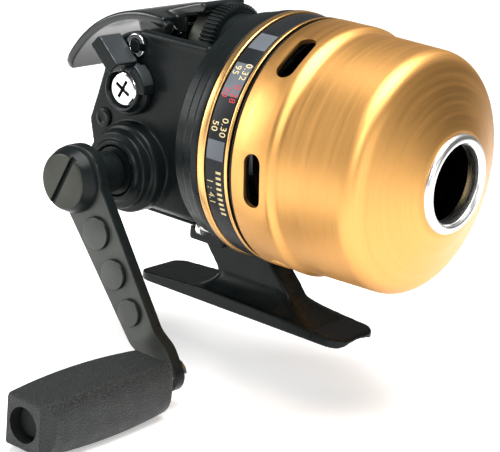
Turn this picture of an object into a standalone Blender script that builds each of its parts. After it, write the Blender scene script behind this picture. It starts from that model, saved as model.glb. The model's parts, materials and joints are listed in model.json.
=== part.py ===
"""Spincast fishing reel, built as an assembly of separate pieces.

Lengths are in millimetres and MM turns them into metres. Every piece is drawn in the reel's own
frame: X runs along the reel's axis with the nose at +X, Z is up, and the crank is on the -Y side.
The empty "reel" carries that frame. It stands AXIS_HEIGHT above the world's origin, which is on the
flat crown under the foot, where a rod's seat meets it.
"""
import math

import bmesh
import bpy
from mathutils import Matrix, Vector

MM = 0.001
GAP = 0.3
MERGE = 0.00001

# Foot and stem
AXIS_HEIGHT = 44.0
FOOT_FRONT_X = 29.4
FOOT_REAR_X = -36.0
FOOT_HALF_WIDTH = 7.9
FOOT_EDGE_DROP = 1.2

# Round front end
FLANGE_REAR_X = -8.5
DECK_FRONT_X = -5.5
RIM_FRONT_X = 13.0
RIM_INNER_R = 26.8
RIM_OUTER_R = 28.4
RING_INNER_R = 28.7
RING_OUTER_R = 30.05
COVER_REAR_X = 10.2
COVER_WALL = 1.2
SKIRT_R = 30.0
BARREL_R = 28.6
SHOULDER_ARC_R = 5.5
SHOULDER_X = 39.4
NOSE_X = 50.2
NOSE_HOLE_R = 10.1
SLOT_X = 16.2
SLOT_LENGTH = 12.8
SLOT_WIDTH = 4.6
SLOT_COUNT = 6
SLOT_FIRST_DEG = 36.0

# Rear housing
HULL_R = 27.5
HULL_FRONT_X = FLANGE_REAR_X - GAP
SIDE_Y = 18.0
SIDE_INNER_Y = 15.8
WALL = 2.2
TROUGH_FLOOR_Z = 6.8
CHAMBER_TOP_Z = 5.2
TROUGH_REAR_X = -28.8
SIDE_PLUG = Vector((-40.9, 0.0, -2.6))
FOOT_SCREW_X = (-17.0, -12.0)

# Crank and its gears
CRANK = Vector((-30.2, 0.0, -12.6))
CRANK_SHAFT_R = 2.4
GEAR_TEETH = 41
PINION_TEETH = 10
GEAR_PITCH_R = 9.05
PINION_PITCH_R = -CRANK.z - GEAR_PITCH_R
GEAR_WIDTH = 5.0
PINION_REAR_X = -33.0
PINION_TEETH_FRONT_X = -27.4
TOOTH_ADDENDUM = 0.34
TOOTH_DEDENDUM = 0.46
TOOTH_FILL = 0.40
PRESSURE_ANGLE = math.radians(20.0)

# Handle
ARM_OUTER_Y = -38.0
ARM_THICKNESS = 3.2
ARM_LENGTH = 51.0
ARM_SLOPE = math.radians(-53.2)
ARM_KINK_START = 40.0
ARM_KINK_END = 46.5
ARM_KINK_STEP = 1.9
ARM_END_R = 4.1
ARM_ALONG = Vector((math.cos(ARM_SLOPE), 0.0, math.sin(ARM_SLOPE)))
KNOB = CRANK + ARM_LENGTH * ARM_ALONG
KNOB_INNER_Y = -40.0
KNOB_OUTER_Y = -81.0

# Levers and dial
THUMB_PIVOT = Vector((-31.1, 0.0, 17.4))
PADDLE_HALF_WIDTH = 13.0
TONGUE_HALF_WIDTH = 7.5
ANTI_REVERSE_PIVOT = Vector((-32.0, 0.0, 6.8))
DIAL = Vector((-17.4, 0.0, 18.0))
DIAL_R = 10.7
DIAL_HUB_R = 8.5
DIAL_HUB_REAR_X = -24.2
DIAL_RIBS = 30
KNOB_SIDES = 16

# Spool and winding cup
SHAFT_R = 1.6
PICKUP_X = 28.0
PICKUP_DEG = 30.0

LARGE = 36
MEDIUM = 24
SMALL = 14

FINISHES = {
    "gold": ((0.66, 0.42, 0.16, 1.0), 0.28, 1.0),
    "black_body": ((0.030, 0.034, 0.034, 1.0), 0.42, 0.0),
    "grey_metal": ((0.105, 0.102, 0.098, 1.0), 0.36, 0.6),
    "chrome": ((0.80, 0.80, 0.81, 1.0), 0.10, 1.0),
    "label": ((0.020, 0.022, 0.024, 1.0), 0.35, 0.0),
    "rubber": ((0.016, 0.018, 0.018, 1.0), 0.70, 0.0),
    "steel": ((0.55, 0.55, 0.56, 1.0), 0.28, 1.0),
    "brass": ((0.70, 0.50, 0.20, 1.0), 0.30, 1.0),
    "nylon": ((0.62, 0.60, 0.55, 1.0), 0.50, 0.0),
}


def clear_scene():
    for item in list(bpy.data.objects):
        bpy.data.objects.remove(item, do_unlink=True)


def make_finishes():
    for name, (colour, roughness, metallic) in FINISHES.items():
        material = bpy.data.materials.new(name)
        material.use_nodes = True
        shader = material.node_tree.nodes["Principled BSDF"]
        shader.inputs["Base Color"].default_value = colour
        shader.inputs["Roughness"].default_value = roughness
        shader.inputs["Metallic"].default_value = metallic


# ---------------------------------------------------------------- shapes

AXES = {"X": Vector((1, 0, 0)), "Y": Vector((0, 1, 0)), "Z": Vector((0, 0, 1))}
AROUND = {"X": Vector((0, 0, 1)), "Y": Vector((0, 0, 1)), "Z": Vector((1, 0, 0))}


def turned(profile, axis="X", centre=(0, 0, 0), steps=MEDIUM):
    """Spin a closed outline of (distance along the axis, radius) points into a solid."""
    shape = bmesh.new()
    origin = Vector(centre)
    along, out = AXES[axis], AROUND[axis]
    points = [shape.verts.new(origin + along * a + out * r) for a, r in profile]
    edges = [shape.edges.new((p, q)) for p, q in zip(points, points[1:] + points[:1])]
    bmesh.ops.spin(shape, geom=points + edges, cent=origin, axis=along, angle=math.tau,
                   steps=steps, use_merge=True)
    bmesh.ops.remove_doubles(shape, verts=shape.verts, dist=0.0005)
    bmesh.ops.dissolve_degenerate(shape, edges=shape.edges, dist=0.0005)
    loose = [edge for edge in shape.edges if not edge.link_faces]
    bmesh.ops.delete(shape, geom=loose, context="EDGES")
    bmesh.ops.recalc_face_normals(shape, faces=shape.faces)
    return shape


def tube(axis, low, high, inner, outer, centre=(0, 0, 0), steps=SMALL):
    return turned([(low, inner), (high, inner), (high, outer), (low, outer)], axis, centre, steps)


def rod(axis, low, high, radius, centre=(0, 0, 0), steps=SMALL):
    return turned([(low, 0), (high, 0), (high, radius), (low, radius)], axis, centre, steps)


def lift(axis, u, v, depth):
    """Place an outline's point (u, v) on the plane at a depth along the axis."""
    if axis == "X":
        return Vector((depth, u, v))
    if axis == "Y":
        return Vector((u, depth, v))
    return Vector((u, v, depth))


def prism(outline, axis, low, high):
    """Extrude a closed outline along an axis from low to high."""
    shape = bmesh.new()
    points = [shape.verts.new(lift(axis, u, v, low)) for u, v in outline]
    face = shape.faces.new(points)
    result = bmesh.ops.extrude_face_region(shape, geom=[face])
    moved = [g for g in result["geom"] if isinstance(g, bmesh.types.BMVert)]
    bmesh.ops.translate(shape, verts=moved, vec=AXES[axis] * (high - low))
    bmesh.ops.recalc_face_normals(shape, faces=shape.faces)
    return shape


def loft(rings):
    """Join rings of equal point counts into one closed skin with flat ends."""
    shape = bmesh.new()
    loops = [[shape.verts.new(p) for p in ring] for ring in rings]
    count = len(loops[0])
    for near, far in zip(loops, loops[1:]):
        for i in range(count):
            j = (i + 1) % count
            shape.faces.new((near[i], near[j], far[j], far[i]))
    shape.faces.new(loops[0])
    shape.faces.new(loops[-1])
    bmesh.ops.recalc_face_normals(shape, faces=shape.faces)
    return shape


def arc(cx, cz, radius, start_deg, end_deg, steps):
    """Points on a circular arc, both ends included."""
    turn = math.radians(end_deg - start_deg) / steps
    angles = [math.radians(start_deg) + i * turn for i in range(steps + 1)]
    return [(cx + radius * math.cos(a), cz + radius * math.sin(a)) for a in angles]


def rounded_box(half_u, half_v, radius, steps=5, cu=0.0, cv=0.0):
    """Outline of a rectangle with round corners."""
    corners = [(1, 1, 0), (-1, 1, 90), (-1, -1, 180), (1, -1, 270)]
    outline = []
    for su, sv, start in corners:
        outline += arc(cu + su * (half_u - radius), cv + sv * (half_v - radius), radius,
                       start, start + 90, steps)
    return outline


def helix(radius, wire, pitch, turns, start_x, sides=4, steps=10):
    """A round-wire coil around the X axis."""
    rings = []
    for i in range(round(turns * steps) + 1):
        angle = math.tau * i / steps
        centre = Vector((start_x + pitch * i / steps, radius * math.cos(angle), radius * math.sin(angle)))
        out = Vector((0.0, math.cos(angle), math.sin(angle)))
        ring = []
        for k in range(sides):
            turn = math.tau * k / sides
            ring.append(centre + wire * (out * math.cos(turn) + AXES["X"] * math.sin(turn)))
        rings.append(ring)
    return loft(rings)


# ---------------------------------------------------------------- objects

def place(name, shape, finish=None, pivot=(0, 0, 0), modifiers=()):
    """Make the named object. Its origin is at the pivot, in the reel's frame."""
    origin = Vector(pivot)
    bmesh.ops.translate(shape, verts=shape.verts, vec=-origin)
    bmesh.ops.scale(shape, verts=shape.verts, vec=Vector((MM, MM, MM)))
    mesh = bpy.data.meshes.new(name)
    shape.to_mesh(mesh)
    shape.free()
    item = bpy.data.objects.new(name, mesh)
    bpy.context.scene.collection.objects.link(item)
    item.parent = bpy.data.objects["reel"]
    item.location = origin * MM
    if finish is None:
        item.hide_render = True
        item.display_type = "WIRE"
    else:
        mesh.materials.append(bpy.data.materials[finish])
        mesh.shade_smooth()
        mesh.set_sharp_from_angle(angle=math.radians(32))
    for operation, tool in modifiers:
        boolean = item.modifiers.new(tool.name, "BOOLEAN")
        boolean.operation = operation
        boolean.solver = "EXACT"
        boolean.object = tool
        weld = item.modifiers.new("weld", "WELD")
        weld.merge_threshold = MERGE
    return item


def cut(tool):
    return ("DIFFERENCE", tool)


def add(tool):
    return ("UNION", tool)


def keep(tool):
    return ("INTERSECT", tool)


# ---------------------------------------------------------------- front end

def cover_profile(inset):
    """Cover wall from the rear edge to the nose hole, moved inwards by inset."""
    shoulder = [(SHOULDER_X + (SHOULDER_ARC_R - inset) * math.sin(math.radians(a)),
                 BARREL_R - SHOULDER_ARC_R + (SHOULDER_ARC_R - inset) * math.cos(math.radians(a)))
                for a in (0, 22, 44, 66)]
    return [(20.6, SKIRT_R - inset), (21.6, SKIRT_R - 0.5 - inset), (22.6, 29.0 - inset)] + shoulder


def make_front_cover():
    nose_outer = [(NOSE_X, 12.6), (NOSE_X + 0.15, 12.0), (NOSE_X + 0.15, NOSE_HOLE_R)]
    nose_inner = [(NOSE_X - 1.25, NOSE_HOLE_R), (NOSE_X - 1.4, 12.1)]
    outer = [(COVER_REAR_X, SKIRT_R - 0.3), (COVER_REAR_X + 0.3, SKIRT_R)] + cover_profile(0.0)
    inner = cover_profile(COVER_WALL)[::-1] + [(COVER_REAR_X, SKIRT_R - COVER_WALL)]
    slots = bmesh.new()
    half, end = SLOT_WIDTH / 2, SLOT_LENGTH / 2 - SLOT_WIDTH / 2
    outline = arc(SLOT_X, end, half, 0, 180, 5) + arc(SLOT_X, -end, half, 180, 360, 5)
    scratch = bpy.data.meshes.new("slot")
    for i in range(SLOT_COUNT):
        slot = prism(outline, "Z", 24.0, 34.0)
        turn = Matrix.Rotation(math.radians(SLOT_FIRST_DEG + 360 / SLOT_COUNT * i), 4, "X")
        bmesh.ops.transform(slot, matrix=turn, verts=slot.verts)
        slot.to_mesh(scratch)
        slot.free()
        slots.from_mesh(scratch)
    tool = place("tool_cover_slots", slots)
    wall = turned(outer + nose_outer + nose_inner + inner, steps=LARGE)
    place("front_cover", wall, "gold", modifiers=[cut(tool)])


def make_line_guide_ring():
    lip = arc(NOSE_X + 0.45, 10.35, 1.25, -90, 90, 4)
    profile = lip + [(NOSE_X + GAP + 0.15, 11.6), (NOSE_X + GAP + 0.15, 9.75),
                     (NOSE_X - 2.2, 9.75), (NOSE_X - 2.2, 9.1)]
    place("line_guide_ring", turned(profile, steps=32), "chrome")


def make_rings():
    rear = [(0.0, RING_INNER_R), (2.1, RING_INNER_R), (2.1, RING_OUTER_R - 0.2),
            (1.8, RING_OUTER_R), (0.3, RING_OUTER_R), (0.0, RING_OUTER_R - 0.2)]
    place("rear_trim_ring", turned(rear, steps=LARGE), "gold")
    place("label_band", tube("X", 2.4, 7.8, RING_INNER_R, 29.7, steps=LARGE), "label")
    place("front_trim_ring", tube("X", 8.1, 9.0, RING_INNER_R, 29.9, steps=LARGE), "gold")
    place("cover_seal", tube("X", 9.3, 9.9, RING_INNER_R, 29.4, steps=LARGE), "rubber")


def make_front_frame():
    """Ridged flange, deck with the pinion's long hub, and the rim that carries the rings."""
    profile = [(RIM_FRONT_X, RIM_INNER_R), (RIM_FRONT_X, RIM_OUTER_R), (-0.3, RIM_OUTER_R),
               (-0.3, 29.7), (-2.7, 29.6), (-3.0, 29.1), (-5.4, 28.8), (-5.7, 28.3), (-6.0, 28.5),
               (FLANGE_REAR_X, 27.9), (FLANGE_REAR_X, 4.9), (-23.0, 4.9), (-23.0, 3.7),
               (DECK_FRONT_X, 3.7), (DECK_FRONT_X, RIM_INNER_R)]
    holes = [place("tool_pusher_hole", rod("X", -12, 0, 1.8, (0, 0, 13.0)))]
    for i, side in enumerate((-1, 1), 1):
        holes.append(place(f"tool_frame_screw_{i}", rod("X", -12, -6.2, 1.15, screw_place(side))))
    place("front_frame", turned(profile, steps=LARGE), "black_body", modifiers=[cut(h) for h in holes])


def screw_place(side):
    """Where a housing screw's axis runs, beside the stem."""
    return (0, 12.0 * side, -24.4)


# ---------------------------------------------------------------- rear housing

def side_outline(inset):
    """The housing seen from the side: round top rear corner, blunt tail, raked underside."""
    shoulder = arc(-31.0, 10.2, 10.4 - inset, 90, 158, 6)
    tail = [(-43.9 + inset, 2.3), (-45.8 + inset, -3.9), (-43.6 + inset, -12.0), (-38.0 + inset, -22.0),
            (-33.0 + inset, -28.0)]
    return [(HULL_FRONT_X, 20.6)] + shoulder + tail + [(HULL_FRONT_X, -28.0)]


def make_rear_housing():
    hull = place("tool_hull", rod("X", -60, 10, HULL_R, steps=LARGE))
    bore_hull = place("tool_bore_hull", rod("X", -60, 10, HULL_R - WALL, steps=LARGE))
    chamber_outline = [(0, CHAMBER_TOP_Z), (TROUGH_REAR_X, CHAMBER_TOP_Z), (TROUGH_REAR_X, 12.0)]
    chamber_outline += [(-38.6, 12.0), (-39.3, 8.4), (-41.7, 1.8), (-43.5, -4.0), (-41.4, -11.3),
                        (-36.0, -20.8), (-31.5, -28.0), (0, -28.0)]
    chamber = place("tool_chamber", prism(chamber_outline, "Y", -SIDE_INNER_Y, SIDE_INNER_Y),
                    modifiers=[keep(bore_hull)])
    open_top = [(0, TROUGH_FLOOR_Z), (TROUGH_REAR_X, TROUGH_FLOOR_Z), (TROUGH_REAR_X, 9.6),
                (-50, 9.6), (-50, 30), (0, 30)]
    trough = place("tool_trough", prism(open_top, "Y", 0.2 - SIDE_INNER_Y, SIDE_INNER_Y - 0.2))
    pedestal_outline = rounded_box(6.0, 8.2, 3.0, 4, 0.0, 13.4)
    pedestal = place("tool_pedestal", prism(pedestal_outline, "X", TROUGH_REAR_X + 0.2, -27.0))
    rails = [place(f"tool_rail_{n}", rod("X", -30.6, HULL_FRONT_X - 0.2, 1.35, (0, y, 20.05), 8))
             for n, y in (("right", -16.9), ("left", 16.9))]
    boss_right = turned([(-12, 0), (-12, 11.0), (-21.2, 11.0), (-21.8, 10.4), (-21.8, 9.8),
                         (-24.2, 9.6), (-24.6, 9.2), (-24.6, 7.6), (-25.3, 7.4), (-25.3, 0)],
                        "Y", CRANK, MEDIUM)
    boss_left = turned([(12, 0), (12, 7.6), (20.0, 7.6), (20.6, 7.0), (20.6, 0)], "Y", CRANK, MEDIUM)
    swing = [(-13.2, 9.7), (-13.2, 0), (13.2, 0), (13.2, 9.7)]
    gear_room = place("tool_gear_room", turned(swing, "Y", CRANK, MEDIUM))
    steps = [keep(hull), add(place("tool_boss_right", boss_right)), add(place("tool_boss_left", boss_left)),
             cut(chamber), cut(trough), cut(gear_room), add(pedestal)]
    steps += [add(rail) for rail in rails]
    bores = {
        "crank_right": rod("Y", -30, -14.0, 6.25, CRANK, 20),
        "crank_left": rod("Y", 14.0, 18.8, 4.3, CRANK, 18),
        "thumb_pin": rod("Y", -30, 30, 1.75, THUMB_PIVOT, 16),
        "anti_reverse": rod("Y", -30, -10, 2.3, ANTI_REVERSE_PIVOT, 16),
        "dial_stud": rod("X", -40, -20, 1.85, (0, 0, DIAL.z), 16),
        "side_plug": rod("Y", -30, -10, 1.5, SIDE_PLUG, 12),
    }
    for i, side in enumerate((-1, 1), 1):
        bores[f"screw_pocket_{i}"] = rod("X", -30, -10.6, 2.5, screw_place(side), 16)
        bores[f"screw_hole_{i}"] = rod("X", -14, 0, 1.15, screw_place(side), 12)
    for i, x in enumerate(FOOT_SCREW_X, 1):
        bores[f"foot_screw_hole_{i}"] = rod("Z", -40, -20, 1.4, (x, 0, 0), 12)
    steps += [cut(place(f"tool_{name}", shape)) for name, shape in bores.items()]
    place("rear_housing", prism(side_outline(0.0), "Y", -SIDE_Y, SIDE_Y), "black_body", modifiers=steps)


def make_side_plug():
    profile = [(-16.2, 0), (-16.2, 1.2), (-18.3, 1.2), (-18.3, 2.45), (-18.8, 2.3), (-18.8, 0)]
    place("side_plug", turned(profile, "Y", SIDE_PLUG, 16), "black_body")


def make_housing_screws():
    profile = [(-12.6, 0), (-12.6, 1.5), (-12.2, 2.0), (-10.9, 2.0), (-10.9, 0.85), (-6.5, 0.85), (-6.5, 0)]
    for i, side in enumerate((-1, 1), 1):
        cross = [place(f"tool_drive_{i}_{k}", prism(rounded_box(w, h, 0.05, 1), "X", -13.0, -12.0))
                 for k, (w, h) in enumerate(((1.3, 0.3), (0.3, 1.3)))]
        for blade in cross:
            blade.location = Vector(screw_place(side)) * MM
        place(f"housing_screw_{i}", turned(profile, "X", screw_place(side), 12), "chrome",
              modifiers=[cut(blade) for blade in cross])


# ---------------------------------------------------------------- foot

def make_foot():
    bottom = -AXIS_HEIGHT - FOOT_EDGE_DROP
    crown = -AXIS_HEIGHT
    plan = rounded_box((FOOT_FRONT_X - FOOT_REAR_X) / 2, FOOT_HALF_WIDTH, 4.2, 5,
                       (FOOT_FRONT_X + FOOT_REAR_X) / 2)
    side = [(FOOT_FRONT_X, bottom), (FOOT_FRONT_X, -43.3), (12.0, -42.0), (-14.0, -41.7),
            (FOOT_REAR_X, -43.2), (FOOT_REAR_X, bottom)]
    stem = [(-20.0, -26.0), (-19.6, -29.2), (-16.2, -33.3), (-12.9, -37.0), (-12.4, -40.2),
            (-14.5, -42.6), (14.0, -42.6), (10.9, -39.6), (9.6, -37.4), (6.4, -34.3), (3.4, -31.0),
            (2.6, -26.0)]
    saddle = rounded_box(5.6, 2.0, 0.8, 3, -14.4, -28.4)
    arch = [(-6.3, bottom - 1), (-6.3, bottom), (-2.6, crown), (2.6, crown), (6.3, bottom),
            (6.3, bottom - 1)]
    body_room = turned([(-60, 0), (-60, HULL_R + GAP), (HULL_FRONT_X, HULL_R + GAP),
                        (HULL_FRONT_X, RING_OUTER_R + GAP), (40, RING_OUTER_R + GAP), (40, 0)], steps=60)
    steps = [keep(place("tool_foot_side", prism(side, "Y", -10, 10))),
             cut(place("tool_foot_arch", prism(arch, "X", -60, 60))),
             add(place("tool_stem", prism(stem, "Y", -3.3, 3.3))),
             add(place("tool_saddle", prism(saddle, "Y", -7.0, 7.0))),
             cut(place("tool_body_room", body_room))]
    for i, x in enumerate(FOOT_SCREW_X, 1):
        steps.append(cut(place(f"tool_foot_tap_{i}", rod("Z", -33.0, -20, 1.3, (x, 0, 0), 12))))
    place("reel_foot", prism(plan, "Z", bottom, -38.0), "black_body", modifiers=steps)
    for i, x in enumerate(FOOT_SCREW_X, 1):
        profile = [(-32.4, 0), (-32.4, 1.0), (-25.0, 1.0), (-25.0, 2.0), (-23.6, 2.0), (-23.6, 0)]
        place(f"foot_screw_{i}", turned(profile, "Z", (x, 0, 0), 12), "steel")


# ---------------------------------------------------------------- gears

def spread(pressure, radius, pitch_radius, half_pitch):
    """Half of a tooth's angle at a radius, for an involute flank."""
    base = pitch_radius * math.cos(pressure)
    roll = math.acos(min(1.0, base / max(radius, base)))
    return half_pitch + (math.tan(pressure) - pressure) - (math.tan(roll) - roll)


def gear_ring(teeth, pitch_radius, helix_angle, phase):
    """One cross-section of a helical gear, as (angle, radius) points."""
    pressure = math.atan(math.tan(PRESSURE_ANGLE) / math.cos(helix_angle))
    half_pitch = TOOTH_FILL * math.pi / teeth
    root, tip = pitch_radius - TOOTH_DEDENDUM, pitch_radius + TOOTH_ADDENDUM
    at_root = min(spread(pressure, root, pitch_radius, half_pitch), 0.92 * math.pi / teeth)
    at_tip = max(spread(pressure, tip, pitch_radius, half_pitch), 0.12 * math.pi / teeth)
    points = []
    for i in range(teeth):
        middle = phase + math.tau * i / teeth
        points += [(middle - at_root, root), (middle - at_tip, tip),
                   (middle + at_tip, tip), (middle + at_root, root)]
    return points


def gear_angles():
    """Helix angles of the crossed pair. They add up to a right angle."""
    gear = math.atan(GEAR_PITCH_R * PINION_TEETH / (PINION_PITCH_R * GEAR_TEETH))
    return gear, math.pi / 2 - gear


def make_drive_gear():
    helix_angle = gear_angles()[0]
    slices = 2
    rings = []
    for k in range(slices + 1):
        y = GEAR_WIDTH * (k / slices - 0.5)
        twist = y * math.tan(helix_angle) / GEAR_PITCH_R
        ring = gear_ring(GEAR_TEETH, GEAR_PITCH_R, helix_angle, math.pi / 2 - twist)
        rings.append([CRANK + Vector((r * math.cos(a), y, r * math.sin(a))) for a, r in ring])
    bore = place("tool_drive_bore", rod("Y", -5, 5, CRANK_SHAFT_R + 0.25, CRANK))
    place("drive_gear", loft(rings), "brass", CRANK, modifiers=[cut(bore)])


def make_pinion():
    """Ten-start pinion with a long hollow journal. A gap between teeth faces the drive gear."""
    helix_angle = gear_angles()[1]
    slices = 9
    length = PINION_TEETH_FRONT_X - PINION_REAR_X
    rings = []
    for k in range(slices + 1):
        x = PINION_REAR_X + length * k / slices
        twist = (x - CRANK.x) * math.tan(helix_angle) / PINION_PITCH_R
        phase = -math.pi / 2 + math.pi / PINION_TEETH + twist
        ring = gear_ring(PINION_TEETH, PINION_PITCH_R, helix_angle, phase)
        rings.append([Vector((x, r * math.cos(a), r * math.sin(a))) for a, r in ring])
    journal = place("tool_pinion_journal", rod("X", PINION_TEETH_FRONT_X - 0.5, -5.9, 2.4))
    bore = place("tool_pinion_bore", rod("X", -50, 10, SHAFT_R + 0.25, steps=16))
    place("pinion_gear", loft(rings), "steel", (0, 0, 0), modifiers=[add(journal), cut(bore)])
    place("pinion_bush", tube("X", -22.8, -19.6, 2.65, 3.45), "brass")
    place("pinion_bearing", tube("X", -9.0, -5.8, 2.65, 3.45), "steel")


def make_ratchet():
    teeth, tip, root = 16, 7.8, 6.7
    outline = []
    for i in range(teeth):
        start = math.tau * i / teeth
        end = math.tau * (i + 0.94) / teeth
        outline += [(root * math.cos(start), root * math.sin(start)),
                    (tip * math.cos(end), tip * math.sin(end))]
    outline = [(CRANK.x + u, CRANK.z + v) for u, v in outline]
    bore = place("tool_ratchet_bore", rod("Y", -20, 0, CRANK_SHAFT_R + 0.25, CRANK))
    place("ratchet", prism(outline, "Y", -12.0, -10.2), "steel", CRANK, modifiers=[cut(bore)])


# ---------------------------------------------------------------- crank and handle

def make_crank_shaft():
    profile = [(-41.2, 0), (-41.2, 2.0), (-40.8, CRANK_SHAFT_R), (18.2, CRANK_SHAFT_R), (18.2, 0)]
    place("crank_shaft", turned(profile, "Y", CRANK, SMALL), "steel", CRANK)
    inner = CRANK_SHAFT_R + 0.25
    place("crank_bush_right", tube("Y", -25.0, -13.5, inner, 5.9, CRANK, 24), "brass")
    place("crank_bush_left", tube("Y", 14.2, 18.4, inner, 4.0, CRANK), "brass")
    collar = [(-34.3, inner), (-34.3, 4.9), (-34.0, 5.2), (-26.4, 5.2), (-26.0, 4.8), (-26.0, inner)]
    place("crank_collar", turned(collar, "Y", CRANK, 24), "black_body", CRANK)


def arm_half_width(s):
    """Half of the arm's width at a distance s from the crank's axis."""
    if s < 0:
        return math.sqrt(max(8.3 ** 2 - s ** 2, 0.3 ** 2))
    if s < 5:
        return math.sqrt(8.3 ** 2 - s ** 2)
    if s < ARM_LENGTH:
        return 6.6 - (s - 5) * (6.6 - ARM_END_R) / (ARM_LENGTH - 5)
    return math.sqrt(max(ARM_END_R ** 2 - (s - ARM_LENGTH) ** 2, 0.3 ** 2))


def make_handle_arm():
    across = Vector((-ARM_ALONG.z, 0.0, ARM_ALONG.x))
    stations = [-8.29, -7.9, -6.8, -5.0, -2.6, 0.0, 2.6, 5.0, 15.0, 30.0, ARM_KINK_START, ARM_KINK_END]
    stations += [ARM_LENGTH, 52.8, 54.1, 54.8, 55.09]
    rings = []
    for s in stations:
        way = min(max((s - ARM_KINK_START) / (ARM_KINK_END - ARM_KINK_START), 0.0), 1.0)
        outer = ARM_OUTER_Y + ARM_KINK_STEP * way
        middle = CRANK + ARM_ALONG * s
        half = across * arm_half_width(s)
        ring = []
        for side, y in ((1, outer), (-1, outer), (-1, outer + ARM_THICKNESS), (1, outer + ARM_THICKNESS)):
            point = middle + half * side
            point.y = y
            ring.append(point)
        rings.append(ring)
    steps = [cut(place("tool_arm_hub", rod("Y", -50, -20, CRANK_SHAFT_R + 0.25, CRANK))),
             cut(place("tool_arm_end", rod("Y", -50, -20, 2.45, KNOB, 16)))]
    for i, (s, radius) in enumerate(((14.0, 4.0), (24.6, 3.7), (34.4, 3.35)), 1):
        centre = CRANK + ARM_ALONG * s
        profile = [(ARM_OUTER_Y + 1, 0), (ARM_OUTER_Y + 1, radius), (ARM_OUTER_Y - 0.8, radius),
                   (ARM_OUTER_Y - 1.2, radius - 0.45), (ARM_OUTER_Y - 1.2, 0)]
        steps.append(add(place(f"tool_disc_{i}", turned(profile, "Y", centre, 20))))
    place("handle_arm", loft(rings), "grey_metal", CRANK, modifiers=steps)


def make_arm_cap():
    base = ARM_OUTER_Y - GAP
    profile = [(base, CRANK_SHAFT_R + 0.25), (base, 7.9), (base - 0.9, 8.1), (base - 3.4, 7.1),
               (base - 4.1, 6.3), (base - 4.1, 0), (-41.5, 0), (-41.5, CRANK_SHAFT_R + 0.25)]
    slot = prism(rounded_box(8.6, 0.95, 0.2, 1), "Y", base - 5, base - 2.9)
    turn = Matrix.Rotation(math.radians(-64), 4, "Y")
    bmesh.ops.transform(slot, matrix=turn, verts=slot.verts)
    tool = place("tool_cap_slot", slot)
    tool.location = CRANK * MM
    place("arm_cap", turned(profile, "Y", CRANK, 28), "grey_metal", CRANK, modifiers=[cut(tool)])


def knob_section(y):
    """The grip's outline at y: flat top and bottom pads, full round sides."""
    middle, half_length = (KNOB_INNER_Y + KNOB_OUTER_Y) / 2, (KNOB_INNER_Y - KNOB_OUTER_Y) / 2
    t = (y - middle) / half_length
    bulge = 1.0 - 0.19 * t * t - 0.16 * abs(t) ** 12
    half_u, half_v = 7.8 * bulge, 7.0 * bulge
    power = 2.8
    ring = []
    for i in range(KNOB_SIDES):
        a = math.tau * (i + 0.5) / KNOB_SIDES
        c, s = math.cos(a), math.sin(a)
        grow = (abs(c) ** power + abs(s) ** power) ** (-1 / power)
        ring.append(Vector((KNOB.x + half_u * grow * c, y, KNOB.z + half_v * grow * s)))
    return ring


def make_knob():
    span = KNOB_INNER_Y - KNOB_OUTER_Y
    shares = (0.0, 0.015, 0.06, 0.2, 0.5, 0.8, 0.94, 0.985, 1.0)
    rings = [knob_section(KNOB_OUTER_Y + span * share) for share in shares]
    bore = turned([(-90, 0), (-90, 4.1), (-77.6, 4.1), (-77.6, 2.45), (-20, 2.45), (-20, 0)],
                  "Y", KNOB, 16)
    place("crank_knob", loft(rings), "rubber", KNOB, modifiers=[cut(place("tool_knob_bore", bore))])
    spindle = [(-78.6, 0), (-78.6, 3.2), (-77.9, 3.4), (-77.9, 2.2), (-39.7, 2.2), (-39.7, 3.3),
               (-39.4, 3.5), (-36.4, 3.5), (-36.4, 2.2), (-32.6, 2.2), (-32.6, 3.4), (-31.6, 3.4),
               (-31.2, 3.0), (-31.2, 0)]
    place("knob_spindle", turned(spindle, "Y", KNOB, SMALL), "chrome", CRANK)


# ---------------------------------------------------------------- levers and dial

def paddle_outline():
    """The thumb paddle from the side: an arched sheet from the tail to just past the pivot."""
    top = arc(-33.2, -6.2, 30.6, 81, 157, 9)
    under = arc(-33.2, -6.2, 28.2, 154, 82, 9)
    return top + under


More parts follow.
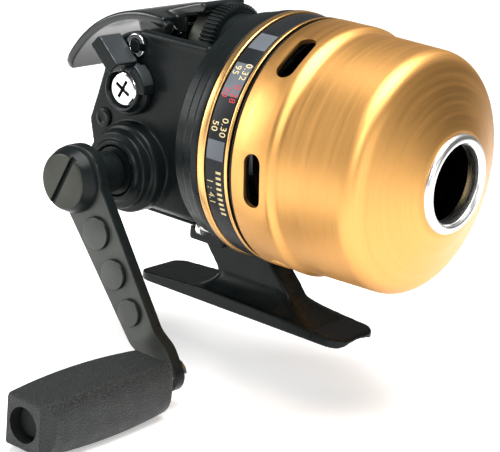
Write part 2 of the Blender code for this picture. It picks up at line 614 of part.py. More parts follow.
def make_thumb_lever():
    tongue = [(-39.0, 22.2), (-30.0, 25.8), (-21.5, 28.6), (-20.2, 27.9), (-20.6, 26.2), (-26.8, 24.3),
              (-31.0, 20.6), (-37.0, 19.9)]
    ear = [(-36.6, 21.5)] + arc(THUMB_PIVOT.x, THUMB_PIVOT.z, 3.4, 190, 350, 6) + [(-27.0, 23.0)]
    pusher = [(-41.0, 19.2), (-36.4, 20.6), (-36.3, 9.0), (-38.6, 2.4), (-38.6, -1.8), (-41.0, -1.8),
              (-41.1, 2.6), (-38.7, 9.4)]
    steps = [add(place("tool_tongue", prism(tongue, "Y", -TONGUE_HALF_WIDTH, TONGUE_HALF_WIDTH))),
             add(place("tool_pusher", prism(pusher, "Y", -3.0, 3.0)))]
    for name, low in (("right", -12.8), ("left", 10.2)):
        steps.append(add(place(f"tool_ear_{name}", prism(ear, "Y", low, low + 2.6))))
    steps.append(cut(place("tool_ear_bore", rod("Y", -30, 30, 1.75, THUMB_PIVOT, 16))))
    hub_room = rod("X", DIAL_HUB_REAR_X - GAP, -10, DIAL_HUB_R + GAP, (0, 0, DIAL.z), MEDIUM)
    steps.append(cut(place("tool_hub_room", hub_room)))
    place("thumb_lever", prism(paddle_outline(), "Y", -PADDLE_HALF_WIDTH, PADDLE_HALF_WIDTH),
          "black_body", THUMB_PIVOT, modifiers=steps)
    place("thumb_pin", rod("Y", -19.6, 19.6, 1.5, THUMB_PIVOT, 16), "chrome")
    for name, low in (("right", -19.3), ("left", 18.4)):
        opening = place(f"tool_clip_gap_{name}", prism([(0, -0.9), (4, -0.9), (4, 0.9), (0, 0.9)], "Y", -25, 25))
        opening.location = THUMB_PIVOT * MM
        clip = tube("Y", low, low + 0.9, 1.75, 2.9, THUMB_PIVOT, 24)
        place(f"clip_{name}", clip, "chrome", modifiers=[cut(opening)])


def make_thumb_spring():
    """Torsion coil round the thumb pin, with one leg on the paddle and one on the housing."""
    coil = helix(2.5, 0.4, 0.95, 3.4, 6.5)
    turn = Matrix.Rotation(math.radians(90), 4, "Z")
    bmesh.ops.transform(coil, matrix=turn, verts=coil.verts)
    bmesh.ops.translate(coil, verts=coil.verts, vec=THUMB_PIVOT)
    place("thumb_spring", coil, "steel", THUMB_PIVOT)


def make_anti_reverse():
    pivot = ANTI_REVERSE_PIVOT
    hub = [(-18.3, 2.3), (-18.3, 7.0), (-21.6, 7.4), (-22.2, 7.0), (-22.2, 5.3), (-19.5, 5.3), (-19.5, 2.3)]
    link = [(-38.0, 10.2), (-38.3, 15.6), (-36.4, 18.6), (-35.2, 17.4), (-35.2, 14.4), (-31.0, 13.2),
            (-31.0, 12.4), (-36.8, 8.2)]
    tab = [(-35.9, 19.8), (-29.4, 13.9), (-31.0, 12.2), (-37.5, 18.1)]
    steps = [add(place("tool_lever_link", prism(link, "Y", -20.9, -18.3))),
             add(place("tool_lever_tab", prism(tab, "Y", -27.0, -19.7))),
             cut(place("tool_lever_well", rod("Y", -30, -19.5, 5.3, pivot, 24)))]
    place("anti_reverse_lever", turned(hub, "Y", pivot, MEDIUM), "black_body", pivot, modifiers=steps)
    screw = [(-21.7, 0), (-21.7, 3.9), (-21.1, 4.4), (-19.9, 4.4), (-19.9, 2.0), (-9.4, 2.0), (-9.4, 0)]
    steps = []
    for k, (w, h) in enumerate(((2.3, 0.42), (0.42, 2.3))):
        blade = place(f"tool_cross_{k}", prism(rounded_box(w, h, 0.08, 1), "Y", -22.0, -20.6))
        blade.location = pivot * MM
        blade.rotation_euler = (0.0, math.radians(28), 0.0)
        steps.append(cut(blade))
    place("anti_reverse_screw", turned(screw, "Y", pivot, 24), "chrome", pivot, modifiers=steps)
    tip_x = pivot.x + 1.2
    outline = arc(pivot.x, pivot.z, 2.95, -20, 200, 8) + [(tip_x - 1.4, -2.0), (tip_x - 0.2, -4.2), (tip_x + 0.9, -3.9)]
    bore = place("tool_pawl_bore", rod("Y", -20, 0, 2.25, pivot, 16))
    place("anti_reverse_pawl", prism(outline, "Y", -12.0, -10.2), "steel", pivot, modifiers=[cut(bore)])


def make_drag_dial():
    front, rear = -15.2, -19.5
    outline = []
    for i in range(DIAL_RIBS):
        start = math.tau * i / DIAL_RIBS
        for share, radius in ((0.0, DIAL_R - 0.5), (0.28, DIAL_R), (0.72, DIAL_R)):
            a = start + share * math.tau / DIAL_RIBS
            outline.append((radius * math.cos(a), DIAL.z + radius * math.sin(a)))
    hub = turned([(-26.6, 2.0), (-26.6, 5.6), (DIAL_HUB_REAR_X, 5.8), (DIAL_HUB_REAR_X, DIAL_HUB_R - 0.4),
                  (DIAL_HUB_REAR_X + 0.5, DIAL_HUB_R), (-9.4, DIAL_HUB_R), (-8.9, DIAL_HUB_R - 0.5),
                  (-8.9, 2.0)], "X", (0, 0, DIAL.z), MEDIUM)
    wheel = prism(outline, "X", rear, front)
    bore = place("tool_dial_bore", rod("X", -40, 0, 2.0, (0, 0, DIAL.z)))
    place("drag_dial", wheel, "black_body", DIAL, modifiers=[add(place("tool_dial_hub", hub)), cut(bore)])
    place("dial_stud", rod("X", TROUGH_REAR_X - 0.4, -9.0, 1.6, (0, 0, DIAL.z), 16), "steel")
    place("drag_pusher", rod("X", -8.4, 3.2, 1.5, (0, 0, 13.0), 16), "steel")


# ---------------------------------------------------------------- spool and winding cup

def make_spool_parts():
    post = [(-5.2, 2.2), (-5.2, 7.5), (-3.4, 7.5), (-3.4, 5.5), (29.5, 5.5), (29.5, 1.95), (28.0, 1.95),
            (28.0, 3.3), (-4.2, 3.3), (-4.2, 2.2)]
    place("spool_post", turned(post, steps=24), "steel")
    place("drag_plate", tube("X", 3.5, 4.7, 5.8, 17.5, steps=MEDIUM), "steel")
    place("drag_washer", tube("X", 5.0, 6.1, 5.8, 16.5, steps=MEDIUM), "nylon")
    spool = [(6.4, 5.8), (22.0, 5.8), (22.0, 19.6), (21.2, 20.4), (20.2, 19.6), (19.6, 12.0), (9.0, 12.0),
             (8.4, 20.2), (7.4, 21.0), (6.4, 20.2)]
    place("spool", turned(spool, steps=MEDIUM), "grey_metal")
    clip = tube("X", 22.4, 23.3, 5.8, 8.0, steps=24)
    gap = place("tool_spool_clip_gap", prism([(0, -1.2), (10, -1.2), (10, 1.2), (0, 1.2)], "X", 20, 25))
    place("spool_clip", clip, "steel", modifiers=[cut(gap)])
    cam = [(24.8, 5.8), (29.0, 5.8), (29.0, 14.5), (27.0, 16.2), (24.8, 16.2)]
    place("pickup_cam", turned(cam, steps=MEDIUM), "nylon")


def make_winding_cup():
    outer = [(19.0, 23.8), (19.6, 24.0), (32.0, 24.0), (34.4, 23.3), (36.0, 21.4), (36.6, 18.5), (36.6, 5.0),
             (38.0, 4.6)]
    inner = [(38.0, SHAFT_R + 0.25), (30.2, SHAFT_R + 0.25), (30.2, 4.5), (34.6, 5.0), (35.0, 18.5),
             (33.6, 21.4), (31.6, 22.5), (19.0, 22.5)]
    turn = Matrix.Rotation(math.radians(PICKUP_DEG), 4, "X")
    guide = prism(rounded_box(2.8, 2.8, 0.6, 2, PICKUP_X, 0.0), "Z", 18.6, 23.2)
    hole = rod("Z", 10, 30, 1.45, (PICKUP_X, 0, 0), 16)
    pin = turned([(17.0, 0), (17.0, 1.0), (17.3, 1.2), (25.4, 1.2), (25.9, 0.7), (25.9, 0)], "Z",
                 (PICKUP_X, 0, 0), 12)
    for shape in (guide, hole, pin):
        bmesh.ops.transform(shape, matrix=turn, verts=shape.verts)
    steps = [add(place("tool_pickup_guide", guide)), cut(place("tool_pickup_hole", hole))]
    place("winding_cup", turned(outer + inner), "steel", modifiers=steps)
    place("pickup_pin", pin, "chrome", (PICKUP_X, 0, 0))
    nut = [(6.2 / math.sqrt(3) * math.cos(math.radians(60 * i)), 6.2 / math.sqrt(3) * math.sin(math.radians(60 * i)))
           for i in range(6)]
    bore = place("tool_nut_bore", rod("X", 30, 50, SHAFT_R + 0.25, steps=16))
    place("rotor_nut", prism(nut, "X", 38.3, 40.8), "brass", modifiers=[cut(bore)])


def make_centre_shaft():
    profile = [(-38.2, 0), (-38.2, 1.3), (-37.8, SHAFT_R), (11.0, SHAFT_R), (11.0, 2.8), (12.0, 2.8),
               (12.0, SHAFT_R), (41.0, SHAFT_R), (41.6, 1.1), (41.6, 0)]
    place("centre_shaft", turned(profile, steps=16), "steel")
    place("shaft_spring", helix(2.4, 0.35, 2.1, 4.5, 12.8), "steel")


def main():
    clear_scene()
    make_finishes()
    reel = bpy.data.objects.new("reel", None)
    reel.location = (0.0, 0.0, AXIS_HEIGHT * MM)
    bpy.context.scene.collection.objects.link(reel)
    make_front_cover()
    make_line_guide_ring()
    make_rings()
    make_front_frame()
    make_rear_housing()
    make_side_plug()
    make_housing_screws()
    make_foot()
    make_drive_gear()
    make_pinion()
    make_ratchet()
    make_crank_shaft()
    make_handle_arm()
    make_arm_cap()
    make_knob()
    make_thumb_lever()
    make_thumb_spring()
    make_anti_reverse()
    make_drag_dial()
    make_spool_parts()
    make_winding_cup()
    make_centre_shaft()


main()
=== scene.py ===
"""Looks of a spincast fishing reel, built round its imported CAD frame.

Lengths are in millimetres in the reel's own frame: X runs along the reel's axis with the nose at +X,
Z is up and the crank is on the -Y side. at() turns such a point into the row frame's metres. Sizes
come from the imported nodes' boxes (span) and the joints' axes (axis_of) wherever a node gives them.
"""
import json
import math

import bmesh
import bpy
from mathutils import Matrix, Vector


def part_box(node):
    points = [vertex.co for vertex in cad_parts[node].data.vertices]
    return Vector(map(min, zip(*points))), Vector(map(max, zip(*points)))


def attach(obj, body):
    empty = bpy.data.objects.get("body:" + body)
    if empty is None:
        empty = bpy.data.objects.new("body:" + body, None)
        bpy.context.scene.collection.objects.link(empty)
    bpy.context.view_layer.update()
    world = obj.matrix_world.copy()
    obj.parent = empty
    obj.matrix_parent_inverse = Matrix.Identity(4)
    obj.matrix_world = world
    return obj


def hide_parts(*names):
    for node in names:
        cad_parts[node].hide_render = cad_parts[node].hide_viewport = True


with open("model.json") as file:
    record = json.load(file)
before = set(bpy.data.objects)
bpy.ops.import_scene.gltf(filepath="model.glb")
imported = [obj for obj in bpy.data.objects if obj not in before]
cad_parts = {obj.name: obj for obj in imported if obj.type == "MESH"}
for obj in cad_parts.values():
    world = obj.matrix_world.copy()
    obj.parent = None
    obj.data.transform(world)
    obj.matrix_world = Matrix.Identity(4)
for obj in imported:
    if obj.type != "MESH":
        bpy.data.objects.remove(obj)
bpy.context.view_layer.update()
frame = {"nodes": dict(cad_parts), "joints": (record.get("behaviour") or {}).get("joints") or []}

MM = 0.001
JOINTS = {joint["name"]: joint for joint in frame["joints"]}
AXIS_HEIGHT = JOINTS["spool_slip"]["pos_m"][2] / MM
AXES = {"X": Vector((1, 0, 0)), "Y": Vector((0, 1, 0)), "Z": Vector((0, 0, 1))}
AROUND = {"X": Vector((0, 0, 1)), "Y": Vector((0, 0, 1)), "Z": Vector((1, 0, 0))}


def at(point):
    """A reel-frame point in millimetres, as metres in the row frame."""
    return Vector((point[0], point[1], point[2] + AXIS_HEIGHT)) * MM


def axis_of(joint):
    """Where a joint's axis crosses the reel's middle plane, in the reel frame."""
    place = Vector(JOINTS[joint]["pos_m"]) / MM
    return Vector((place.x, 0.0, place.z - AXIS_HEIGHT))


def span(node):
    """A node's lowest and highest corners, in the reel frame."""
    low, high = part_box(node)
    drop = Vector((0.0, 0.0, AXIS_HEIGHT))
    return low / MM - drop, high / MM - drop


CRANK = axis_of("crank_turn")
KNOB = axis_of("knob_spin")
THUMB = axis_of("thumb_press")
LOCK = axis_of("anti_reverse_set")
DIAL = axis_of("drag_set")
REEL_AXIS = Vector((0.0, 0.0, 0.0))

# Bores that pieces on the same pin share.
SPINDLE_BORE_R = 2.65
KNOB_BORE_R = 2.4
PADDLE_BORE_R = 1.75
LOCK_BORE_R = 2.3


def add_object(name, data):
    """A new object in the scene for a mesh, curve, light or camera."""
    item = bpy.data.objects.new(name, data)
    bpy.context.scene.collection.objects.link(item)
    return item


# ---------------------------------------------------------------- camera, floor and light

CAMERA_AT = (263.1, -339.3, 109.7)
CAMERA_TURN = math.radians(38.473)
CAMERA_RISE = math.radians(17.273)
CAMERA_ROLL = math.radians(5.077)
CAMERA_LENS = 132.7
SENSOR_WIDTH = 36.0
NEAREST_SEEN = 0.01
FLOOR_DROP = 1.0
FLOOR_HALF_SIZE = 6.0
FLOOR_COLOUR = (0.93, 0.93, 0.925, 1.0)
FLOOR_ROUGHNESS = 0.9
FLOOR_GLOW = 0.40
WORLD_LIGHT = 0.17
WHITE = (1.0, 1.0, 1.0, 1.0)
# Each light is (name, place, width, height, watts, the point it looks at).
LIGHTS = (("overhead", (60, -40, 560), 480, 480, 7.0, (10, 0, 0)),
          ("left", (-420, -330, 170), 170, 300, 1.3, (0, 0, 0)),
          ("front", (260, -560, 330), 170, 170, 1.1, (20, 0, 0)),
          ("nose", (520, -200, 60), 420, 420, 0.9, (30, 0, 0)))


def make_camera():
    """A long lens at the front right, a little above, tipped to the reel's lean."""
    data = bpy.data.cameras.new("camera")
    data.lens = CAMERA_LENS
    data.sensor_width = SENSOR_WIDTH
    data.clip_start = NEAREST_SEEN
    camera = add_object("camera", data)
    aim = Matrix.Rotation(CAMERA_TURN, 4, "Z") @ Matrix.Rotation(math.pi / 2 - CAMERA_RISE, 4, "X")
    camera.matrix_world = Matrix.Translation(at(CAMERA_AT)) @ aim @ Matrix.Rotation(CAMERA_ROLL, 4, "Z")
    bpy.context.scene.camera = camera


def make_light(name, place, width, height, watts, aim):
    """A soft rectangular light that looks at a point."""
    data = bpy.data.lights.new(name, "AREA")
    data.energy = watts
    data.shape = "RECTANGLE"
    data.size = width * MM
    data.size_y = height * MM
    light = add_object(name, data)
    light.location = at(place)
    light.rotation_euler = (at(aim) - at(place)).to_track_quat("-Z", "Y").to_euler()


def make_floor():
    """A pale sheet just under the lowest node."""
    lowest = min(span(node)[0].z for node in frame["nodes"])
    shape = bmesh.new()
    bmesh.ops.create_grid(shape, x_segments=1, y_segments=1, size=FLOOR_HALF_SIZE)
    mesh = bpy.data.meshes.new("floor")
    shape.to_mesh(mesh)
    shape.free()
    floor = add_object("floor", mesh)
    floor.location = at((0, 0, lowest - FLOOR_DROP))
    surface = bpy.data.materials.new("floor_paper")
    surface.use_nodes = True
    shader = surface.node_tree.nodes["Principled BSDF"]
    shader.inputs["Base Color"].default_value = FLOOR_COLOUR
    shader.inputs["Roughness"].default_value = FLOOR_ROUGHNESS
    shader.inputs["Emission Color"].default_value = WHITE
    shader.inputs["Emission Strength"].default_value = FLOOR_GLOW
    mesh.materials.append(surface)


def make_studio():
    """An even world, a plain view transform and four soft lights."""
    world = bpy.data.worlds.new("studio")
    world.use_nodes = True
    background = world.node_tree.nodes["Background"]
    background.inputs["Color"].default_value = WHITE
    background.inputs["Strength"].default_value = WORLD_LIGHT
    bpy.context.scene.world = world
    bpy.context.scene.view_settings.view_transform = "Standard"
    for light in LIGHTS:
        make_light(*light)


# ---------------------------------------------------------------- materials

class Look:
    """A Principled material with helpers that add procedural detail to its sockets."""

    def __init__(self, name, colour, roughness, metallic=0.0, **extra):
        self.material = bpy.data.materials.new(name)
        self.material.use_nodes = True
        self.tree = self.material.node_tree
        self.shader = self.tree.nodes["Principled BSDF"]
        self.colour = colour
        self.shader.inputs["Base Color"].default_value = (*colour, 1.0)
        self.shader.inputs["Roughness"].default_value = roughness
        self.shader.inputs["Metallic"].default_value = metallic
        for socket, value in extra.items():
            self.shader.inputs[socket.replace("_", " ")].default_value = value

    def node(self, kind, **settings):
        """A new node with its settings."""
        node = self.tree.nodes.new(kind)
        for key, value in settings.items():
            setattr(node, key, value)
        return node

    def link(self, source, target):
        """Join an output to an input."""
        self.tree.links.new(source, target)

    def calculate(self, operation, first, second=None):
        """A math node on sockets or plain numbers."""
        node = self.node("ShaderNodeMath", operation=operation)
        for socket, value in zip(node.inputs, (first, second)):
            if value is None:
                continue
            if isinstance(value, (int, float)):
                socket.default_value = value
            else:
                self.link(value, socket)
        return node.outputs[0]

    def place(self, centre):
        """Object coordinates in millimetres, measured from a centre in the reel frame."""
        coordinate = self.node("ShaderNodeTexCoord")
        mapping = self.node("ShaderNodeMapping")
        self.link(coordinate.outputs["Object"], mapping.inputs["Vector"])
        mapping.inputs["Scale"].default_value = (1 / MM, 1 / MM, 1 / MM)
        mapping.inputs["Location"].default_value = -at(centre) / MM
        return mapping.outputs["Vector"]

    def noise(self, vector, scale, detail, w=None):
        """Noise whose features are about 1/scale millimetres across."""
        node = self.node("ShaderNodeTexNoise", noise_dimensions="4D" if w is not None else "3D")
        self.link(vector, node.inputs["Vector"])
        if w is not None:
            self.link(w, node.inputs["W"])
        node.inputs["Scale"].default_value = scale
        node.inputs["Detail"].default_value = detail
        return node.outputs["Fac"]

    def turned_noise(self, axis, centre, fine, sweep, detail=4.0):
        """Noise drawn out into rings round an axis, as turning or circular brushing leaves it."""
        split = self.node("ShaderNodeSeparateXYZ")
        self.link(self.place(centre), split.inputs[0])
        order = {"X": (0, 1, 2), "Y": (1, 2, 0), "Z": (2, 0, 1)}[axis]
        along, u, v = (split.outputs[i] for i in order)
        square = self.calculate("ADD", self.calculate("MULTIPLY", u, u), self.calculate("MULTIPLY", v, v))
        radius = self.calculate("MAXIMUM", self.calculate("SQRT", square), 0.01)
        join = self.node("ShaderNodeCombineXYZ")
        self.link(self.calculate("MULTIPLY", along, fine), join.inputs[0])
        for across, socket in ((u, join.inputs[1]), (v, join.inputs[2])):
            share = self.calculate("DIVIDE", across, radius)
            self.link(self.calculate("MULTIPLY", share, sweep), socket)
        return self.noise(join.outputs[0], 1.0, detail, w=self.calculate("MULTIPLY", radius, fine))

    def spread(self, factor, low, high, start=0.3, end=0.7):
        """A factor stretched from start..end on to low..high."""
        node = self.node("ShaderNodeMapRange")
        self.link(factor, node.inputs["Value"])
        for socket, value in (("From Min", start), ("From Max", end), ("To Min", low), ("To Max", high)):
            node.inputs[socket].default_value = value
        return node.outputs["Result"]

    def roughen(self, factor, low, high):
        """Vary the roughness between two values."""
        self.link(self.spread(factor, low, high), self.shader.inputs["Roughness"])

    def tint(self, factor, dark, light):
        """Vary the base colour between two multiples of it."""
        mix = self.node("ShaderNodeMix", data_type="RGBA")
        self.link(self.spread(factor, 0.0, 1.0), mix.inputs["Factor"])
        mix.inputs["A"].default_value = (*(c * dark for c in self.colour), 1.0)
        mix.inputs["B"].default_value = (*(c * light for c in self.colour), 1.0)
        self.link(mix.outputs["Result"], self.shader.inputs["Base Color"])

    def bump(self, height, strength, distance_mm):
        """Press a height pattern into the surface."""
        node = self.node("ShaderNodeBump")
        node.inputs["Strength"].default_value = strength
        node.inputs["Distance"].default_value = distance_mm * MM
        self.link(height, node.inputs["Height"])
        self.link(node.outputs["Normal"], self.shader.inputs["Normal"])

    def brush_round(self, axis):
        """Stretch highlights across circular brushing about an axis."""
        tangent = self.node("ShaderNodeTangent", direction_type="RADIAL", axis=axis)
        self.link(tangent.outputs["Tangent"], self.shader.inputs["Tangent"])


def turned_metal(name, colour, roughness, axis, centre, fine=6.0, strength=0.15, tint=0.12):
    """Metal with the fine rings that turning leaves round an axis."""
    look = Look(name, colour, roughness, 1.0, Anisotropic=0.5)
    rings = look.turned_noise(axis, centre, fine, 1.5)
    look.tint(rings, 1.0 - tint, 1.0)
    look.roughen(rings, roughness * 0.8, roughness * 1.3)
    look.bump(rings, strength, 0.03)
    look.brush_round(axis)
    return look.material


def moulded(name, colour, roughness, grain=3.0, strength=0.12, **extra):
    """Moulded plastic or painted casting with a fine grain and slow variation."""
    look = Look(name, colour, roughness, **{"Specular_IOR_Level": 0.14, **extra})
    place = look.place(REEL_AXIS)
    look.tint(look.noise(place, 0.12, 3.0), 0.82, 1.18)
    look.roughen(look.noise(place, 0.5, 4.0), roughness * 0.86, roughness * 1.16)
    look.bump(look.noise(place, grain, 2.0), strength, 0.05)
    return look.material


def brushed_gold():
    """Satin gold with circular brushing and slow bands of shine."""
    look = Look("gold_brushed", (0.70, 0.365, 0.112), 0.40, 1.0, Anisotropic=0.5)
    lines = look.turned_noise("X", REEL_AXIS, 7.0, 1.2, 5.0)
    bands = look.turned_noise("X", REEL_AXIS, 0.9, 0.8, 2.0)
    look.tint(lines, 0.93, 1.04)
    look.roughen(bands, 0.37, 0.46)
    look.bump(lines, 0.08, 0.03)
    look.brush_round("X")
    return look.material


def pebbled_rubber():
    """Black rubber with small domes, with painted light on their tops and painted shade between them."""
    look = Look("grip_pebbled", (0.0155, 0.019, 0.019), 0.50, Specular_IOR_Level=0.35)
    place = look.place(KNOB)
    pebbles = look.node("ShaderNodeTexVoronoi", feature="SMOOTH_F1")
    look.link(place, pebbles.inputs["Vector"])
    pebbles.inputs["Scale"].default_value = 2.3
    pebbles.inputs["Smoothness"].default_value = 0.35
    round_top = look.spread(pebbles.outputs["Distance"], 1.0, 0.0, 0.0, 0.6)
    # Painted light and shade: dome tops are lighter, the gaps between them darker.
    look.tint(round_top, 0.6, 1.25)
    look.roughen(look.noise(place, 0.3, 3.0), 0.44, 0.58)
    look.bump(round_top, 0.8, 0.22)
    return look.material


def make_materials():
    """Every look on the reel, by the name the pieces ask for."""
    return {
        "gold": brushed_gold(),
        "gold_polished": turned_metal("gold_polished", (0.82, 0.47, 0.17), 0.28, "X", REEL_AXIS,
                                      5.0, 0.002, 0.05),
        "black_body": moulded("body_satin_black", (0.0060, 0.0082, 0.0082), 0.30),
        "black_gloss": moulded("paddle_gloss_black", (0.009, 0.0112, 0.0112), 0.20, 2.0, 0.05,
                               Specular_IOR_Level=0.5),
        "grey_metal": moulded("arm_grey_paint", (0.062, 0.065, 0.060), 0.38, 3.0, 0.10, Metallic=0.35),
        "cap_grey": moulded("cap_olive_grey", (0.044, 0.046, 0.038), 0.34, 3.0, 0.10, Metallic=0.3),
        # Painted light: the lighter grey that the lever's upward faces get.
        "lever_lit_grey": moulded("lever_painted_lit_grey", (0.028, 0.033, 0.036), 0.33, 3.0, 0.10,
                              Specular_IOR_Level=0.45),
        # Painted shade: a near-black laid on inner faces, bores and recesses that sit in shade.
        "painted_shade_black": moulded("painted_shade_black", (0.010, 0.0105, 0.011), 0.55, 2.0, 0.05),
        "label": moulded("label_black", (0.012, 0.0135, 0.015), 0.30, 2.0, 0.03),
        "label_grey": moulded("label_grey", (0.105, 0.115, 0.130), 0.34, 2.0, 0.03),
        "print_gold": moulded("print_pale_gold", (0.62, 0.50, 0.27), 0.40, 2.0, 0.03),
        "print_red": moulded("print_red", (0.42, 0.045, 0.05), 0.40, 2.0, 0.03),
        "rubber": pebbled_rubber(),
        "chrome": turned_metal("chrome_ring", (0.86, 0.86, 0.85), 0.27, "X", REEL_AXIS, 4.0, 0.002, 0.03),
        "chrome_side": turned_metal("chrome_side", (0.84, 0.84, 0.85), 0.12, "Y", LOCK, 4.0, 0.03, 0.04),
        "steel": turned_metal("steel_turned", (0.52, 0.52, 0.53), 0.26, "X", REEL_AXIS),
        "steel_side": turned_metal("steel_turned_side", (0.52, 0.52, 0.53), 0.26, "Y", CRANK),
        # Painted shade: steel darkened so the parts inside the cover read dark through the slots and nose.
        "steel_painted_shade": turned_metal("cup_steel_painted_shade", (0.10, 0.10, 0.105), 0.30, "X", REEL_AXIS),
        "brass": turned_metal("brass_turned", (0.70, 0.50, 0.20), 0.28, "X", REEL_AXIS),
        "brass_side": turned_metal("brass_turned_side", (0.70, 0.50, 0.20), 0.28, "Y", CRANK),
        "nylon": moulded("nylon_natural", (0.60, 0.58, 0.52), 0.45, 2.0, 0.10),
    }


# ---------------------------------------------------------------- mesh building

WELD_DISTANCE = 0.0005
CORNER_SHARE = 0.45


def turned(profile, axis="X", centre=REEL_AXIS, steps=96):
    """Spin a closed outline of (distance along the axis, radius) points into a solid."""
    shape = bmesh.new()
    origin = Vector(centre)
    along, out = AXES[axis], AROUND[axis]
    points = [shape.verts.new(origin + along * a + out * max(r, 0.0)) for a, r in profile]
    edges = [shape.edges.new((p, q)) for p, q in zip(points, points[1:] + points[:1])]
    bmesh.ops.spin(shape, geom=points + edges, cent=origin, axis=along, angle=math.tau,
                   steps=steps, use_merge=True)
    bmesh.ops.remove_doubles(shape, verts=shape.verts, dist=WELD_DISTANCE)
    bmesh.ops.dissolve_degenerate(shape, edges=shape.edges, dist=WELD_DISTANCE)
    bmesh.ops.delete(shape, geom=[e for e in shape.edges if not e.link_faces], context="EDGES")
    bmesh.ops.recalc_face_normals(shape, faces=shape.faces)
    return shape


def rod(low, high, radius, axis, centre, steps):
    """A round bar along an axis from low to high, used to fill or to bore."""
    return turned([(low, 0), (high, 0), (high, radius), (low, radius)], axis, centre, steps)


def lift(axis, u, v, depth):
    """Place an outline's point (u, v) on the plane at a depth along the axis."""
    if axis == "X":
        return Vector((depth, u, v))
    if axis == "Y":
        return Vector((u, depth, v))
    return Vector((u, v, depth))


def prism(outline, axis, low, high):
    """Extrude a closed outline along an axis from low to high."""
    shape = bmesh.new()
    near = [shape.verts.new(lift(axis, u, v, low)) for u, v in outline]
    far = [shape.verts.new(lift(axis, u, v, high)) for u, v in outline]
    shape.faces.new(near)
    shape.faces.new(far)
    for i in range(len(near)):
        j = (i + 1) % len(near)
        shape.faces.new((near[i], near[j], far[j], far[i]))
    bmesh.ops.recalc_face_normals(shape, faces=shape.faces)
    return shape


def loft(rings):
    """Join rings of equal point counts into one skin with flat ends."""
    shape = bmesh.new()
    loops = [[shape.verts.new(p) for p in ring] for ring in rings]
    count = len(loops[0])
    for near, far in zip(loops, loops[1:]):
        for i in range(count):
            j = (i + 1) % count
            shape.faces.new((near[i], near[j], far[j], far[i]))
    shape.faces.new(loops[0])
    shape.faces.new(loops[-1])
    bmesh.ops.recalc_face_normals(shape, faces=shape.faces)
    return shape


def arc(cx, cz, radius, start_deg, end_deg, steps):
    """Points along a circle's arc, both ends included."""
    turn = math.radians(end_deg - start_deg) / steps
    angles = [math.radians(start_deg) + i * turn for i in range(steps + 1)]
    return [(cx + radius * math.cos(a), cz + radius * math.sin(a)) for a in angles]


def rounded_box(half_u, half_v, radius, steps, cu=0.0, cv=0.0):
    """A rectangle with round corners, centred on (cu, cv)."""
    outline = []
    for su, sv, start in ((1, 1, 0), (-1, 1, 90), (-1, -1, 180), (1, -1, 270)):
        outline += arc(cu + su * (half_u - radius), cv + sv * (half_v - radius), radius,
                       start, start + 90, steps)
    return outline


def rounded(profile, radius, steps):
    """Round every corner of a closed outline."""
    result = []
    for i, corner in enumerate(profile):
        here = Vector(corner)
        before, after = Vector(profile[i - 1]), Vector(profile[(i + 1) % len(profile)])
        to_before, to_after = before - here, after - here
        cut_back = min(radius, to_before.length * CORNER_SHARE, to_after.length * CORNER_SHARE)
        start = here + to_before.normalized() * cut_back
        end = here + to_after.normalized() * cut_back
        for k in range(steps + 1):
            t = k / steps
            point = start * (1 - t) ** 2 + here * 2 * t * (1 - t) + end * t ** 2
            result.append((point.x, point.y))
    return result


def raw_object(name, shape):
    """An object made from a bmesh, which is freed."""
    mesh = bpy.data.meshes.new(name)
    shape.to_mesh(mesh)
    shape.free()
    return add_object(name, mesh)


def settle(item):
    """Apply an object's modifiers to its mesh."""
    bpy.context.view_layer.update()
    evaluated = item.evaluated_get(bpy.context.evaluated_depsgraph_get())
    mesh = bpy.data.meshes.new_from_object(evaluated)
    item.modifiers.clear()
    item.data = mesh


def combine(name, base, steps):
    """A solid after a list of ("UNION" | "DIFFERENCE" | "INTERSECT", shape) steps."""
    item = raw_object(name, base)
    tools = []
    for operation, shape in steps:
        tool = raw_object(name + "_tool", shape)
        tools.append(tool)
        modifier = item.modifiers.new("boolean", "BOOLEAN")
        modifier.operation = operation
        modifier.solver = "EXACT"
        modifier.object = tool
    settle(item)
    for tool in tools:
        mesh = tool.data
        bpy.data.objects.remove(tool)
        bpy.data.meshes.remove(mesh)
    return item


def soften(item, voxel, smooth_times):
    """Rebuild a solid as an even skin and relax it, which rounds its edges as moulding does."""
    remesh = item.modifiers.new("remesh", "REMESH")
    remesh.mode = "VOXEL"
    remesh.voxel_size = voxel
    relax = item.modifiers.new("relax", "SMOOTH")
    relax.factor = 0.5
    relax.iterations = smooth_times
    settle(item)


def paint_faces(item, material, wanted):
    """Give the faces a test picks out a second material."""
    item.data.materials.append(material)
    for face in item.data.polygons:
        if wanted(face):
            face.material_index = 1


def looks_inwards(face):
    """Whether a face of a turned shell looks at the reel's axis, or backwards."""
    out = Vector((0.0, face.center.y, face.center.z - AXIS_HEIGHT * MM)).normalized()
    return face.normal.dot(out) < -0.3 or face.normal.x < -0.5


def is_edge(face):
    """Whether a face of a part that lies across Y is one of its edges or its back."""
    return face.normal.y > -0.75


def is_bore(face, centre, radius):
    """Whether a face belongs to a bore along Y around a centre, or to a recess in its middle."""
    across = face.center.x - centre.x * MM
    up = face.center.z - (centre.z + AXIS_HEIGHT) * MM
    return math.hypot(across, up) < radius * MM and face.normal.y > -0.99


def finish_piece(item, body, material, replaces=(), sharp_deg=None):
    """Move a millimetre mesh to its place in the row frame, and hand it to the frame."""
    item.data.transform(Matrix.Translation((0, 0, AXIS_HEIGHT * MM)) @ Matrix.Scale(MM, 4))
    item.data.materials.clear()
    item.data.materials.append(material)
    item.data.shade_smooth()
    if sharp_deg is not None:
        item.data.set_sharp_from_angle(angle=math.radians(sharp_deg))
    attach(item, body)
    if replaces:
        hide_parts(*replaces)


# ---------------------------------------------------------------- gold cover and its rings

SLOT_X = 16.2
SLOT_LENGTH = 12.8
SLOT_WIDTH = 4.6
SLOT_COUNT = 6
SLOT_FIRST_DEG = 36.0
SHOULDER_X = 39.4
SHOULDER_R = 5.5
BARREL_R = 28.6
COVER_WALL = 1.2
NOSE_HOLE_R = 10.1


